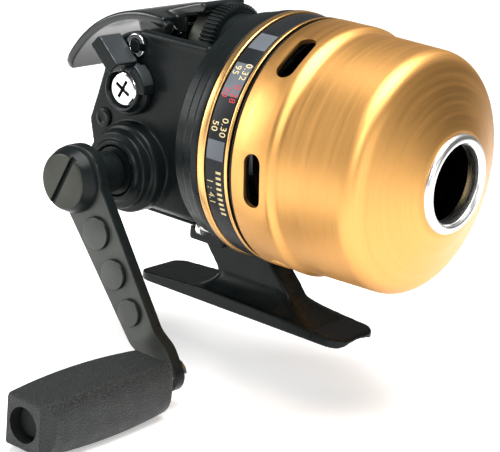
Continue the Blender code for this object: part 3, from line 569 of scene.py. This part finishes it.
def slot_cutter():
    """Oblong slot cutters, flared where they leave the skirt, so each slot's edge is broken."""
    skirt = span("front_cover")[1].z
    levels = ((-6.0, 0.0), (-0.35, 0.0), (0.15, 0.35), (1.5, 0.9))
    end = (SLOT_LENGTH - SLOT_WIDTH) / 2
    cutters = bmesh.new()
    scratch = bpy.data.meshes.new("slot")
    for i in range(SLOT_COUNT):
        rings = []
        for rise, grow in levels:
            half = SLOT_WIDTH / 2 + grow
            outline = arc(SLOT_X, end, half, 0, 180, 16) + arc(SLOT_X, -end, half, 180, 360, 16)
            rings.append([Vector((u, v, skirt + rise)) for u, v in outline])
        slot = loft(rings)
        turn = Matrix.Rotation(math.radians(SLOT_FIRST_DEG + 360 / SLOT_COUNT * i), 4, "X")
        bmesh.ops.transform(slot, matrix=turn, verts=slot.verts)
        slot.to_mesh(scratch)
        slot.free()
        cutters.from_mesh(scratch)
    bpy.data.meshes.remove(scratch)
    return cutters


def cover_line(inset):
    """The cover's wall from behind the step to the end of the shoulder, moved inwards by inset."""
    skirt = span("front_cover")[1].z
    step = [(19.8, skirt - inset), (20.6, skirt - 0.04 - inset), (21.2, skirt - 0.3 - inset),
            (21.9, skirt - 0.72 - inset), (22.6, 29.02 - inset), (23.4, 28.95 - inset)]
    shoulder = [(SHOULDER_X + (SHOULDER_R - inset) * math.sin(math.radians(a)),
                 BARREL_R - SHOULDER_R + (SHOULDER_R - inset) * math.cos(math.radians(a)))
                for a in range(0, 67, 6)]
    return step + shoulder


def make_cover(looks):
    """The gold nose cover: a turned shell with a slotted skirt, its inside painted black as shade."""
    low, high = span("front_cover")
    nose_x, skirt = high.x - 0.15, high.z
    outer = [(low.x, skirt - 0.5), (low.x + 0.15, skirt - 0.12), (low.x + 0.5, skirt)] + cover_line(0.0)
    outer += [(nose_x - 0.5, 13.7), (nose_x - 0.05, 12.7), (nose_x + 0.15, 12.1),
              (nose_x + 0.15, NOSE_HOLE_R)]
    inner = [(nose_x - 1.25, NOSE_HOLE_R), (nose_x - 1.4, 12.1)] + cover_line(COVER_WALL)[::-1]
    inner += [(low.x, skirt - COVER_WALL)]
    cover = combine("gold_cover", turned(outer + inner, steps=192), [("DIFFERENCE", slot_cutter())])
    finish_piece(cover, "reel_body", looks["gold"], ["front_cover"], sharp_deg=38)
    # Painted shade: faces that look towards the axis or backwards are painted black.
    paint_faces(cover, looks["painted_shade_black"], looks_inwards)


def make_nose_ring(looks):
    """The chrome line guide: a round lip with a short funnel behind it."""
    low, high = span("line_guide_ring")
    radius = high.z
    lip = arc(high.x - 1.35, radius - 1.3, 1.35, 112, -20, 14)
    funnel = [(high.x - 0.9, 9.25), (high.x - 2.0, 9.1), (low.x, 9.15), (low.x, 9.75)]
    profile = lip + funnel + [(high.x - 2.0, 9.8), (high.x - 1.7, 10.4), (high.x - 1.75, radius - 0.6)]
    ring = raw_object("nose_ring", turned(rounded(profile, 0.12, 2), steps=160))
    finish_piece(ring, "reel_body", looks["chrome"], ["line_guide_ring"], sharp_deg=50)


# Each ring is (node, name, look, slot, edge radius).
TRIM_RINGS = (("rear_trim_ring", "trim_rear", "gold_polished", "gold", 0.45),
              ("front_trim_ring", "trim_front", "gold_polished", "gold", 0.25),
              ("cover_seal", "seal_black", "black_body", "rubber", 0.15),
              ("label_band", "label_ring", "label", "label", 0.15))
TRIM_BORE_R = 28.6


def make_trim(looks):
    """The rings between the cover and the body."""
    for node, name, look, slot, edge in TRIM_RINGS:
        low, high = span(node)
        profile = rounded([(low.x, TRIM_BORE_R), (high.x, TRIM_BORE_R), (high.x, high.z), (low.x, high.z)],
                          edge, 5)
        ring = raw_object(name, turned(profile, steps=192))
        finish_piece(ring, "reel_body", looks[look], [node], sharp_deg=50)


# Angles on the band run from the top towards -Y, in degrees. A field is (start, end). A number is
# (angle, words nearer the rear, words nearer the nose, look).
BAND_FIELDS = ((27.0, 37.5), (46.0, 62.5), (82.6, 91.4))
BAND_NUMBERS = ((50.0, "95", "0.32", "print_gold"), (61.0, "70", "0.28", "print_red"),
                (76.5, "50", "0.30", "print_gold"))
RATIO_AT, RATIO_WORDS = 107.0, "1 : 4.1"
REAR_ROW, NOSE_ROW = 1.35, 3.95
WORD_HEIGHT, WORD_THICKNESS, WORD_SPACING, WORD_LIFT = 2.45, 0.02, 1.08, 0.04
MARK_COUNT, MARK_FIRST, MARK_STEP = 9, 97.0, 2.6


def wrap_on_band(item, radius):
    """Roll a flat piece on to the band: its x becomes the angle, its y the place along the axis."""
    for vertex in item.data.vertices:
        angle = vertex.co.x / radius
        out = radius + vertex.co.z
        vertex.co = Vector((vertex.co.y, -out * math.sin(angle), out * math.cos(angle)))


def flat_patch(width, height, thickness, columns):
    """A thin slab divided along its width, so it can be rolled."""
    section = ((-height / 2, 0), (height / 2, 0), (height / 2, thickness), (-height / 2, thickness))
    return loft([[Vector((width * (i / columns - 0.5), y, z)) for y, z in section]
                 for i in range(columns + 1)])


def text_mesh(name, words, size):
    """Numerals as a thin flat mesh centred on the origin."""
    curve = bpy.data.curves.new(name, "FONT")
    curve.body = words
    curve.size = size
    curve.align_x = "CENTER"
    curve.align_y = "CENTER"
    curve.extrude = WORD_THICKNESS
    curve.space_character = WORD_SPACING
    source = add_object(name + "_source", curve)
    bpy.context.view_layer.update()
    mesh = bpy.data.meshes.new_from_object(source.evaluated_get(bpy.context.evaluated_depsgraph_get()))
    bpy.data.objects.remove(source)
    return mesh


def put_on_band(item, angle, x, lift_off=0.0):
    """Move a flat piece to an angle and a place along the axis, and roll it on."""
    radius = span("label_band")[1].z
    item.data.transform(Matrix.Translation((math.radians(angle) * radius, x, lift_off)))
    wrap_on_band(item, radius)


def make_band_print(looks):
    """Grey fields, generic line sizes and plain marks, printed round the band."""
    low, high = span("label_band")
    for i, (start, end) in enumerate(BAND_FIELDS, 1):
        width = math.radians(end - start) * high.z
        patch = raw_object(f"band_field_{i}", flat_patch(width, high.x - low.x - 0.5, 0.03, 24))
        put_on_band(patch, (start + end) / 2, (low.x + high.x) / 2)
        finish_piece(patch, "reel_body", looks["label_grey"], sharp_deg=40)
    rows = []
    for angle, rear_words, nose_words, look in BAND_NUMBERS:
        rows += [(angle, rear_words, REAR_ROW, look), (angle, nose_words, NOSE_ROW, look)]
    rows += [(RATIO_AT, RATIO_WORDS, REAR_ROW, "print_gold")]
    for i, (angle, words, row, look) in enumerate(rows, 1):
        item = add_object(f"band_number_{i}", text_mesh(f"band_number_{i}", words, WORD_HEIGHT))
        put_on_band(item, angle, low.x + row, WORD_LIFT)
        finish_piece(item, "reel_body", looks[look])
    for i in range(MARK_COUNT):
        tick = raw_object(f"band_mark_{i + 1}", flat_patch(0.62, 1.5, 0.05, 2))
        put_on_band(tick, MARK_FIRST + i * MARK_STEP, low.x + NOSE_ROW)
        finish_piece(tick, "reel_body", looks["print_gold"])


# ---------------------------------------------------------------- black body

DECK_FRONT_X, DECK_REAR_X = -5.5, -8.5
RIM_R, RIM_INNER_R = 28.4, 26.8
HOUSING_SIDE_Y, HOUSING_INNER_Y = 18.0, 15.8
SCREW_Y, SCREW_Z = 12.0, -24.4
RAIL_Y, RAIL_Z, RAIL_R, RAIL_REAR_X = 16.9, 20.05, 1.35, -30.6


def make_front_frame(looks):
    """The ridged flange, its rim and its deck."""
    low, high = span("front_frame")
    profile = [(high.x, RIM_INNER_R), (high.x, RIM_R), (-0.3, RIM_R), (-0.3, 29.75), (-2.55, 29.6),
               (-3.0, 29.0), (-5.3, 28.8), (-5.75, 28.2), (-8.3, 28.05), (DECK_REAR_X, 27.8),
               (DECK_REAR_X, 4.9), (low.x, 4.9), (low.x, 3.7), (DECK_FRONT_X, 3.7),
               (DECK_FRONT_X, RIM_INNER_R)]
    frame_piece = raw_object("ridged_flange", turned(rounded(profile, 0.28, 3), steps=192))
    finish_piece(frame_piece, "reel_body", looks["black_body"], ["front_frame"], sharp_deg=50)


def hull_profile():
    """The housing from the side: round top rear corner, blunt tail, raked underside."""
    front = span("rear_housing")[1].x
    shoulder = arc(-31.0, 10.2, 10.4, 90, 158, 14)
    tail = [(-43.9, 2.3), (-45.8, -3.9), (-43.6, -12.0), (-38.0, -22.0), (-33.0, -28.0)]
    return [(front, 20.6)] + shoulder + tail + [(front, -28.0)]


def make_housing(looks):
    """The black rear body: two side walls with rolled top edges, bosses and an open trough between them."""
    front = span("rear_housing")[1].x
    boss = rounded([(-12, 0), (-12, 11.0), (-21.2, 11.0), (-21.8, 10.6), (-21.8, 9.7), (-24.3, 9.5),
                    (-24.6, 9.2), (-24.6, 7.6), (-25.3, 7.4), (-25.3, 6.25), (-13, 6.25), (-13, 0)], 0.25, 3)
    left_boss = rounded([(12, 0), (12, 7.6), (20.0, 7.6), (20.6, 7.0), (20.6, 0)], 0.4, 3)
    chamber = [(0, 5.2), (-28.8, 5.2), (-28.8, 12.0), (-38.6, 12.0), (-39.3, 8.4), (-41.7, 1.8),
               (-43.5, -4.0), (-41.4, -11.3), (-36.0, -20.8), (-33.0, -24.5), (0, -24.5)]
    trough = [(0, 6.8), (-28.8, 6.8), (-28.8, 9.6), (-50, 9.6), (-50, 30), (0, 30)]
    steps = [("INTERSECT", rod(-60, 10, 27.5, "X", REEL_AXIS, 160)),
             ("UNION", turned(boss, "Y", CRANK, 96)),
             ("UNION", turned(left_boss, "Y", CRANK, 80)),
             ("DIFFERENCE", prism(chamber, "Y", -HOUSING_INNER_Y, HOUSING_INNER_Y)),
             ("DIFFERENCE", prism(trough, "Y", 0.2 - HOUSING_INNER_Y, HOUSING_INNER_Y - 0.2)),
             ("DIFFERENCE", rod(-13.2, 13.2, 9.7, "Y", CRANK, 64)),
             ("UNION", prism(rounded_box(6.0, 8.2, 3.0, 8, 0.0, 13.4), "X", -28.6, -27.0))]
    for y in (-RAIL_Y, RAIL_Y):
        steps.append(("UNION", rod(RAIL_REAR_X, front - 0.2, RAIL_R, "X", (0, y, RAIL_Z), 24)))
    for low, high, radius, axis, centre in (
            (-30, -12, 6.25, "Y", CRANK), (14.0, 18.8, 4.3, "Y", CRANK), (-30, 30, PADDLE_BORE_R, "Y", THUMB),
            (-30, -10, LOCK_BORE_R, "Y", LOCK), (-40, -20, 1.85, "X", (0, 0, DIAL.z)),
            (-40, -10.6, 2.6, "X", (0, -SCREW_Y, SCREW_Z)), (-40, -10.6, 2.6, "X", (0, SCREW_Y, SCREW_Z))):
        steps.append(("DIFFERENCE", rod(low, high, radius, axis, centre, 40)))
    housing = combine("housing", prism(hull_profile(), "Y", -HOUSING_SIDE_Y, HOUSING_SIDE_Y), steps)
    soften(housing, 0.32, 5)
    finish_piece(housing, "reel_body", looks["black_body"], ["rear_housing"])


STEM_HALF_Y = 3.3


def stem_flare():
    """The skirt that spreads the stem on to the foot: rings that widen as they go down."""
    rings = []
    for i in range(11):
        t = i / 10
        rear, front = -13.0 - 4.5 * t ** 3, 8.0 + 3.5 * t + 8.5 * t ** 3
        half_y = 3.2 + 4.4 * t ** 2.4
        outline = rounded_box((front - rear) / 2, half_y, 2.4, 5, (front + rear) / 2)
        rings.append([Vector((x, y, -35.6 - 6.7 * t)) for x, y in outline])
    return loft(rings)


def make_foot(looks):
    """The rod foot, hollow below, with its stem and the saddle that meets the body."""
    low, high = span("reel_foot")
    plan = rounded_box((high.x - low.x) / 2, high.y, 4.2, 10, (high.x + low.x) / 2)
    side = [(high.x, low.z), (high.x, -43.4), (high.x - 0.6, -43.0), (12.0, -42.0), (-14.0, -41.7),
            (low.x + 0.8, -43.0), (low.x, -43.6), (low.x, low.z)]
    arch = [(-6.3, low.z - 1), (-6.3, low.z)] + arc(0.0, low.z - 16.0, 17.2, 111.5, 68.5, 12)
    arch += [(6.3, low.z), (6.3, low.z - 1)]
    stem = [(-20.0, -26.0), (-19.6, -29.2), (-16.4, -33.1), (-13.4, -36.6), (-12.6, -39.0), (-13.2, -40.8),
            (-15.2, -42.4), (14.6, -42.4), (11.6, -40.4), (10.2, -38.4), (8.2, -36.0), (6.0, -33.9),
            (3.6, -31.2), (2.6, -26.0)]
    body_room = [(-60, 0), (-60, 27.8), (-8.8, 27.8), (-8.8, 30.35), (40, 30.35), (40, 0)]
    saddle = rounded_box(5.6, 2.0, 0.8, 5, -14.4, -28.4)
    steps = [("INTERSECT", prism(side, "Y", -10, 10)),
             ("DIFFERENCE", prism(arch, "X", -60, 60)),
             ("UNION", prism(stem, "Y", -STEM_HALF_Y, STEM_HALF_Y)),
             ("UNION", stem_flare()),
             ("UNION", prism(saddle, "Y", -7.0, 7.0)),
             ("DIFFERENCE", turned(body_room, steps=160))]
    foot = combine("foot", prism(plan, "Z", low.z, -38.0), steps)
    soften(foot, 0.30, 8)
    finish_piece(foot, "reel_body", looks["black_body"], ["reel_foot"])


def cross_recess(centre, axis, low, high, arm_length, arm_width, turn_deg):
    """Two blades that cut a cross into a screw's head."""
    blades = []
    for extra in (0, 90):
        blade = prism(rounded_box(arm_length, arm_width, arm_width * 0.4, 3), axis, low, high)
        spin = Matrix.Rotation(math.radians(turn_deg + extra), 4, axis)
        bmesh.ops.transform(blade, matrix=Matrix.Translation(centre) @ spin, verts=blade.verts)
        blades.append(("DIFFERENCE", blade))
    return blades


def make_screws(looks):
    """The two case screws under the body and the plug in its side."""
    for i, y in enumerate((-SCREW_Y, SCREW_Y), 1):
        centre = Vector((0, y, SCREW_Z))
        profile = rounded([(-12.6, 0), (-12.6, 1.4), (-12.2, 2.0), (-10.9, 2.0), (-10.9, 0.85), (-6.5, 0.85),
                           (-6.5, 0)], 0.15, 3)
        screw = combine(f"case_screw_{i}", turned(profile, "X", centre, 48),
                        cross_recess(centre, "X", -13.0, -12.1, 1.25, 0.28, 20))
        finish_piece(screw, "reel_body", looks["chrome"], [f"housing_screw_{i}"], sharp_deg=40)
    low, high = span("side_plug")
    centre = Vector(((low.x + high.x) / 2, 0, (low.z + high.z) / 2))
    profile = rounded([(-16.2, 0), (-16.2, 1.2), (-18.2, 1.2), (-18.2, 2.45), (-18.6, 2.3), (-18.8, 1.6),
                       (-18.55, 0.9), (-18.55, 0)], 0.12, 3)
    plug = raw_object("plug_side", turned(profile, "Y", centre, 48))
    finish_piece(plug, "reel_body", looks["black_body"], ["side_plug"], sharp_deg=50)


# ---------------------------------------------------------------- crank

def make_collar(looks):
    """The sleeve between the crank's boss and the arm."""
    low, high = span("crank_collar")
    profile = rounded([(low.y, 2.7), (low.y, 4.8), (low.y + 0.5, 5.2), (high.y - 2.2, 5.2),
                       (high.y - 0.4, 5.0), (high.y, 4.6), (high.y, 2.7)], 0.2, 3)
    collar = raw_object("hub_sleeve", turned(profile, "Y", CRANK, 96))
    finish_piece(collar, "crank", looks["black_body"], ["crank_collar"], sharp_deg=50)


ARM_OUTER_Y, ARM_INNER_Y = -38.0, -34.8
ARM_HEAD_R, ARM_WIDE, ARM_END_R = 8.3, 6.6, 4.1
ARM_HEAD_END = 5.0
KINK_AT, KINK_LENGTH = 40.0, 6.5
DISC_RISE = 1.2
# Each raised disc is (distance from the crank's axis, radius).
ARM_DISCS = ((14.0, 4.0), (24.6, 3.7), (34.4, 3.35))
ARM_SLOPE = math.atan2(KNOB.z - CRANK.z, KNOB.x - CRANK.x)
ARM_LENGTH = (KNOB - CRANK).length
ARM_ALONG = Vector((math.cos(ARM_SLOPE), 0.0, math.sin(ARM_SLOPE)))
ARM_ACROSS = Vector((-ARM_ALONG.z, 0.0, ARM_ALONG.x))


def arm_half_width(s):
    """Half the arm's width at a distance s from the crank's axis: a round head, a taper, a round end."""
    if s < ARM_HEAD_END:
        return math.sqrt(max(ARM_HEAD_R ** 2 - s ** 2, 0.04))
    if s < ARM_LENGTH:
        return ARM_WIDE - (s - ARM_HEAD_END) * (ARM_WIDE - ARM_END_R) / (ARM_LENGTH - ARM_HEAD_END)
    return math.sqrt(max(ARM_END_R ** 2 - (s - ARM_LENGTH) ** 2, 0.04))


def make_arm(looks):
    """The crank's arm: a flat bar that steps inwards near its end, with three raised discs."""
    step = span("handle_arm")[1].y - ARM_INNER_Y
    stations = [-8.29, -8.1, -7.6, -6.8, -5.8, -4.6, -3.2, -1.6, 0, 1.6, 3.2, ARM_HEAD_END]
    stations += [7 + 2 * i for i in range(17)]
    stations += [KINK_AT + 0.8 * i for i in range(9)] + [48.5, ARM_LENGTH]
    stations += [ARM_LENGTH + ARM_END_R * math.sin(math.radians(a)) for a in (15, 30, 45, 58, 70, 80, 88)]
    rings = []
    for s in stations:
        way = min(max((s - KINK_AT) / KINK_LENGTH, 0.0), 1.0)
        shift = step * way * way * (3 - 2 * way)
        middle = CRANK + ARM_ALONG * s
        half = arm_half_width(s)
        section = rounded([(half, ARM_OUTER_Y), (-half, ARM_OUTER_Y),
                           (-half, ARM_INNER_Y), (half, ARM_INNER_Y)], 0.55, 3)
        rings.append([middle + ARM_ACROSS * u + Vector((0, v + shift, 0)) for u, v in section])
    steps = []
    top = ARM_OUTER_Y - DISC_RISE
    for s, radius in ARM_DISCS:
        profile = [(ARM_OUTER_Y + 1, 0), (ARM_OUTER_Y + 1, radius), (top + 0.45, radius),
                   (top + 0.15, radius - 0.15), (top, radius - 0.5), (top, 0)]
        steps.append(("UNION", turned(profile, "Y", CRANK + ARM_ALONG * s, 56)))
    steps.append(("DIFFERENCE", rod(-50, -20, SPINDLE_BORE_R, "Y", CRANK, 40)))
    steps.append(("DIFFERENCE", rod(-50, -20, KNOB_BORE_R, "Y", KNOB, 40)))
    arm = combine("crank_arm", loft(rings), steps)
    finish_piece(arm, "crank", looks["grey_metal"], ["handle_arm"], sharp_deg=32)
    # Painted shade: the arm's edges, the sides of its discs and its back are painted black, its outer face
    # grey.
    paint_faces(arm, looks["black_body"], is_edge)


CAP_SLOT_DEPTH = 0.8
CAP_SLOT_DEG = -64


def make_cap(looks):
    """The slotted cap nut on the crank."""
    low, high = span("arm_cap")
    base, face_y = high.y, low.y
    profile = [(base, SPINDLE_BORE_R), (base, 7.6), (base - 0.4, 8.1), (base - 1.2, 8.0), (base - 3.2, 7.1),
               (face_y + 0.25, 6.7), (face_y, 6.3), (face_y, 0), (-41.5, 0), (-41.5, SPINDLE_BORE_R)]
    slot = prism(rounded_box(8.6, 0.75, 0.2, 2), "Y", face_y - 1, face_y + CAP_SLOT_DEPTH)
    turn = Matrix.Rotation(math.radians(CAP_SLOT_DEG), 4, "Y")
    bmesh.ops.transform(slot, matrix=Matrix.Translation(CRANK) @ turn, verts=slot.verts)
    cap = combine("crank_cap", turned(rounded(profile, 0.2, 3), "Y", CRANK, 96), [("DIFFERENCE", slot)])
    finish_piece(cap, "crank", looks["cap_grey"], ["arm_cap"], sharp_deg=35)
    # Painted shade: the cap's sides, its back and the slot's floor are painted black, its outer face grey.
    paint_faces(cap, looks["black_body"], lambda face: is_edge(face) or face.center.y > (face_y + 0.3) * MM)


GRIP_POWER = 3.0
GRIP_BULGE = 0.13
GRIP_POINTS = 96
PAD_CUT = 0.84
END_ROUND = 0.9
END_SHRINK = 0.07


def grip_section(y, low, high):
    """The grip's outline at y: a flat pad above and below, and full sides that meet it at a ridge."""
    middle, half_length = (low.y + high.y) / 2, (high.y - low.y) / 2
    t = (y - middle) / half_length
    bulge = 1.0 - GRIP_BULGE * t * t
    half_u = (high.x - low.x) / 2 * bulge
    half_v = (high.z - low.z) / 2 * bulge
    ring = []
    for i in range(GRIP_POINTS):
        a = math.tau * (i + 0.5) / GRIP_POINTS
        c, s = math.cos(a), math.sin(a)
        grow = (abs(c) ** GRIP_POWER + abs(s) ** GRIP_POWER) ** (-1 / GRIP_POWER)
        u, v = half_u * grow * c, half_v / PAD_CUT * grow * s
        pad = half_v * (0.97 + 0.03 * (u / half_u) ** 2)
        ring.append(Vector((u, 0.0, max(min(v, pad), -pad))))
    return ring


def make_grip(looks):
    """The pebbled grip, with a bore and cut corners at its outer end."""
    low, high = span("crank_knob")
    length = high.y - low.y
    shares = [0.0, 0.006, 0.018, 0.035, 0.055] + [0.08 + 0.84 * i / 28 for i in range(29)]
    shares += [0.945, 0.965, 0.982, 0.994, 1.0]
    rings = []
    for share in shares:
        y = low.y + length * share
        inside = max(END_ROUND - min(share, 1 - share) * length, 0.0) / END_ROUND
        close = 1.0 - END_SHRINK * (1 - math.sqrt(max(1 - inside ** 2, 0.0)))
        rings.append([Vector((KNOB.x + p.x * close, y, KNOB.z + p.z * close))
                      for p in grip_section(y, low, high)])
    bore = rounded([(-90, 0), (-90, 4.2), (-77.6, 4.1), (-77.6, KNOB_BORE_R), (-20, KNOB_BORE_R), (-20, 0)],
                   0.1, 2)
    steps = [("DIFFERENCE", turned(bore, "Y", KNOB, 56))]
    for side in (-1, 1):
        corner = [(KNOB.x + side * u, low.y + v)
                  for u, v in ((4.9, -1), (20, -1), (20, 9.5), (7.6, 4.0), (5.2, 0.6))]
        steps.append(("DIFFERENCE", prism(corner, "Z", KNOB.z - 30, KNOB.z + 30)))
    grip = combine("grip", loft(rings), steps)
    finish_piece(grip, "knob", looks["rubber"], ["crank_knob"], sharp_deg=30)
    # Painted shade: the grip's bore and the recess at its end are painted black.
    paint_faces(grip, looks["painted_shade_black"], lambda face: is_bore(face, KNOB, 4.3))


# ---------------------------------------------------------------- paddle, levers and dial

# The paddle's sheet follows an arc round (PADDLE_ARC_X, PADDLE_ARC_Z) from its tail to the pivot.
PADDLE_HALF_WIDTH = 13.0
PADDLE_OUTER_R = 30.6
PADDLE_ARC_X, PADDLE_ARC_Z = -33.2, -6.2
PADDLE_TAIL_DEG, PADDLE_SWEEP_DEG = 157, 76
LOCK_WELL_R = 4.75


def paddle_half_width(s):
    """Half the paddle's width at a share s of the way from its tail to the pivot."""
    return PADDLE_HALF_WIDTH * (0.88 + 0.12 * math.sqrt(min(1.0, s * 14)))


def make_paddle(looks):
    """The thumb paddle: a curved sheet, a tongue over the dial, two ears, and the shaft's pusher."""
    outer = PADDLE_OUTER_R
    rings = []
    for i in range(25):
        s = i / 24
        angle = math.radians(PADDLE_TAIL_DEG - s * PADDLE_SWEEP_DEG)
        across, up = math.cos(angle), math.sin(angle)
        half = paddle_half_width(s)
        inner = outer - (2.4 - 0.25 * (1 - s))
        outline = rounded([(-half, inner), (half, inner), (half, outer), (-half, outer)], 0.8, 4)
        rings.append([Vector((PADDLE_ARC_X + r * across, w, PADDLE_ARC_Z + r * up)) for w, r in outline])
    tongue = [(-39.0, 22.2), (-30.0, 25.8), (-24.0, 27.9), (-21.5, 28.6), (-20.5, 28.3), (-20.2, 27.6),
              (-20.6, 26.2), (-26.8, 24.3), (-31.0, 20.6), (-37.0, 19.9)]
    ear = [(-36.6, 21.5)] + arc(THUMB.x, THUMB.z, 3.4, 190, 350, 20) + [(-27.0, 23.0)]
    pusher = [(-41.0, 19.2), (-36.4, 20.6), (-36.3, 9.0), (-38.6, 2.4), (-38.6, -1.8), (-41.0, -1.8),
              (-41.1, 2.6), (-38.7, 9.4)]
    skirt = [(-33.0, 22.0), (-30.0, 24.6), (-25.8, 25.6), (-25.8, 20.4), (-28.0, 20.0), (-30.0, 21.0)]
    steps = [("UNION", prism(tongue, "Y", -7.5, 7.5)), ("UNION", prism(pusher, "Y", -3.0, 3.0)),
             ("UNION", prism(skirt, "Y", -7.4, -6.2)), ("UNION", prism(skirt, "Y", 6.2, 7.4)),
             ("UNION", prism(ear, "Y", -12.8, -10.2)), ("UNION", prism(ear, "Y", 10.2, 12.8)),
             ("DIFFERENCE", rod(-30, 30, PADDLE_BORE_R, "Y", THUMB, 40)),
             ("DIFFERENCE", rod(-24.5, -10, 8.8, "X", (0, 0, DIAL.z), 80))]
    paddle = combine("thumb_paddle_piece", loft(rings), steps)
    soften(paddle, 0.28, 4)
    finish_piece(paddle, "thumb_paddle", looks["black_gloss"], ["thumb_lever"])


def make_clips(looks):
    """The paddle's pin and the open clips on its ends."""
    low, high = span("thumb_pin")
    profile = rounded([(low.y, 0), (low.y, 1.5), (high.y, 1.5), (high.y, 0)], 0.25, 3)
    pin = raw_object("paddle_pin", turned(profile, "Y", THUMB, 48))
    finish_piece(pin, "reel_body", looks["black_body"], ["thumb_pin"], sharp_deg=50)
    for side in ("right", "left"):
        low, high = span(f"clip_{side}")
        profile = rounded([(low.y, PADDLE_BORE_R), (high.y, PADDLE_BORE_R), (high.y, 2.9), (low.y, 2.9)],
                          0.18, 3)
        gap = prism([(0, -0.9), (4, -0.9), (4, 0.9), (0, 0.9)], "Y", -25, 25)
        bmesh.ops.translate(gap, verts=gap.verts, vec=THUMB)
        clip = combine(f"pin_clip_{side}", turned(profile, "Y", THUMB, 64), [("DIFFERENCE", gap)])
        finish_piece(clip, "reel_body", looks["chrome_side"], [f"clip_{side}"], sharp_deg=40)


def make_lock_lever(looks):
    """The anti-reverse lever with its bent tab, and the cross-head screw it turns on."""
    hub = [(-18.3, LOCK_BORE_R), (-18.3, 6.7), (-20.1, 6.7), (-20.3, 5.6), (-22.0, 5.5), (-22.2, 5.3),
           (-22.2, LOCK_WELL_R), (-19.5, LOCK_WELL_R), (-19.5, LOCK_BORE_R)]
    cam = arc(LOCK.x, LOCK.z, 7.4, 0, 62, 14) + arc(LOCK.x, LOCK.z, 5.3, 62, 0, 14)
    link = [(-38.0, 10.2), (-38.3, 15.6), (-36.4, 18.6), (-35.2, 17.4), (-35.2, 14.4), (-31.0, 13.2),
            (-31.0, 12.4), (-36.8, 8.2)]
    tab = [(-35.9, 19.8), (-29.4, 13.9), (-31.9, 11.2), (-38.4, 17.1)]
    steps = [("UNION", prism(link, "Y", -20.9, -18.3)),
             ("UNION", prism(rounded(tab, 0.5, 4), "Y", -27.0, -19.7)),
             ("UNION", prism(cam, "Y", -22.1, -18.4)),
             ("DIFFERENCE", rod(-30, -19.5, LOCK_WELL_R, "Y", LOCK, 80))]
    lever = combine("lock_lever", turned(rounded(hub, 0.3, 3), "Y", LOCK, 96), steps)
    soften(lever, 0.2, 4)
    finish_piece(lever, "anti_reverse", looks["lever_lit_grey"], ["anti_reverse_lever"])
    # Painted light and shade: faces that look upwards keep the lighter grey, the rest are painted black.
    paint_faces(lever, looks["black_body"], lambda face: face.normal.z < 0.3)
    profile = [(-21.7, 0), (-21.7, 3.6), (-21.4, 4.1), (-20.9, 4.4), (-19.9, 4.4), (-19.9, 2.0), (-9.4, 2.0),
               (-9.4, 0)]
    screw = combine("lock_screw", turned(rounded(profile, 0.2, 3), "Y", LOCK, 80),
                    cross_recess(LOCK, "Y", -22.5, -20.6, 2.5, 0.45, 28))
    finish_piece(screw, "anti_reverse", looks["chrome_side"], ["anti_reverse_screw"], sharp_deg=40)
    # Painted shade: the screw's cross recess and bore are painted black.
    paint_faces(screw, looks["painted_shade_black"], lambda face: is_bore(face, LOCK, 3.2))


DIAL_RIBS = 60
DIAL_R = 10.7
# One rib of the knurling, as (share of the rib's pitch, depth below the rim).
RIB_SHAPE = ((0.0, 0.55), (0.16, 0.5), (0.3, 0.08), (0.45, 0.0), (0.6, 0.0), (0.75, 0.08), (0.89, 0.5))
# The rim across its width, as (place along the axis, drop of the rounded edge).
RIM_SHAPE = ((-19.5, 0.9), (-19.3, 0.35), (-18.9, 0.0), (-15.8, 0.0), (-15.4, 0.35), (-15.2, 0.9))
DIAL_GREY_X = -19.7


def make_dial(looks):
    """The knurled drag dial with its smooth hub."""
    low, high = span("drag_dial")
    centre = (0, 0, DIAL.z)
    outline = [(math.tau * (i + share) / DIAL_RIBS, DIAL_R - depth)
               for i in range(DIAL_RIBS) for share, depth in RIB_SHAPE]
    rings = [[Vector((x, (r - drop) * math.cos(a), DIAL.z + (r - drop) * math.sin(a))) for a, r in outline]
             for x, drop in RIM_SHAPE]
    hub = rounded([(low.x, 2.0), (low.x, 5.6), (-24.2, 5.8), (-24.2, 8.1), (-23.7, 8.5), (high.x - 0.5, 8.5),
                   (high.x, 8.0), (high.x, 2.0)], 0.25, 3)
    steps = [("UNION", turned(hub, "X", centre, 96)), ("DIFFERENCE", rod(-40, 0, 2.0, "X", centre, 32))]
    dial = combine("drag_wheel", loft(rings), steps)
    finish_piece(dial, "dial", looks["black_body"], ["drag_dial"], sharp_deg=38)
    paint_faces(dial, looks["cap_grey"], lambda face: face.center.x < DIAL_GREY_X * MM)


# ---------------------------------------------------------------- pieces kept from the frame

KEPT_LOOKS = {
    "steel": ("foot_screw_1", "foot_screw_2", "pinion_gear", "pinion_bearing", "dial_stud", "drag_pusher",
              "spool_post", "drag_plate", "spool_clip", "centre_shaft", "shaft_spring"),
    "steel_side": ("crank_shaft", "ratchet", "anti_reverse_pawl", "thumb_spring"),
    # Painted shade: the winding cup and spool are darkened as the shade inside the cover.
    "steel_painted_shade": ("winding_cup", "spool"),
    "brass": ("pinion_bush", "rotor_nut"),
    "brass_side": ("drive_gear", "crank_bush_left"),
    "black_body": ("crank_bush_right",),
    "nylon": ("drag_washer", "pickup_cam"),
    "chrome": ("pickup_pin",),
    "chrome_side": ("knob_spindle",),
}
SPINDLE_SHADE_Y = -60.0


def dress_kept_nodes(looks):
    """Give the CAD pieces that stay their looks, with painted shade on the spindle inside the grip's hole."""
    for look, nodes in KEPT_LOOKS.items():
        for node in nodes:
            item = frame["nodes"][node]
            item.data.materials.clear()
            item.data.materials.append(looks[look])
    # Painted shade: the spindle is painted black beyond this depth, inside the grip's hole.
    paint_faces(frame["nodes"]["knob_spindle"], looks["painted_shade_black"],
                lambda face: face.center.y < SPINDLE_SHADE_Y * MM)


make_camera()
make_floor()
make_studio()
looks = make_materials()
for make_part in (make_cover, make_nose_ring, make_trim, make_band_print, make_front_frame, make_housing,
                  make_foot, make_screws, make_collar, make_arm, make_cap, make_grip, make_paddle,
                  make_clips, make_lock_lever, make_dial, dress_kept_nodes):
    make_part(looks)
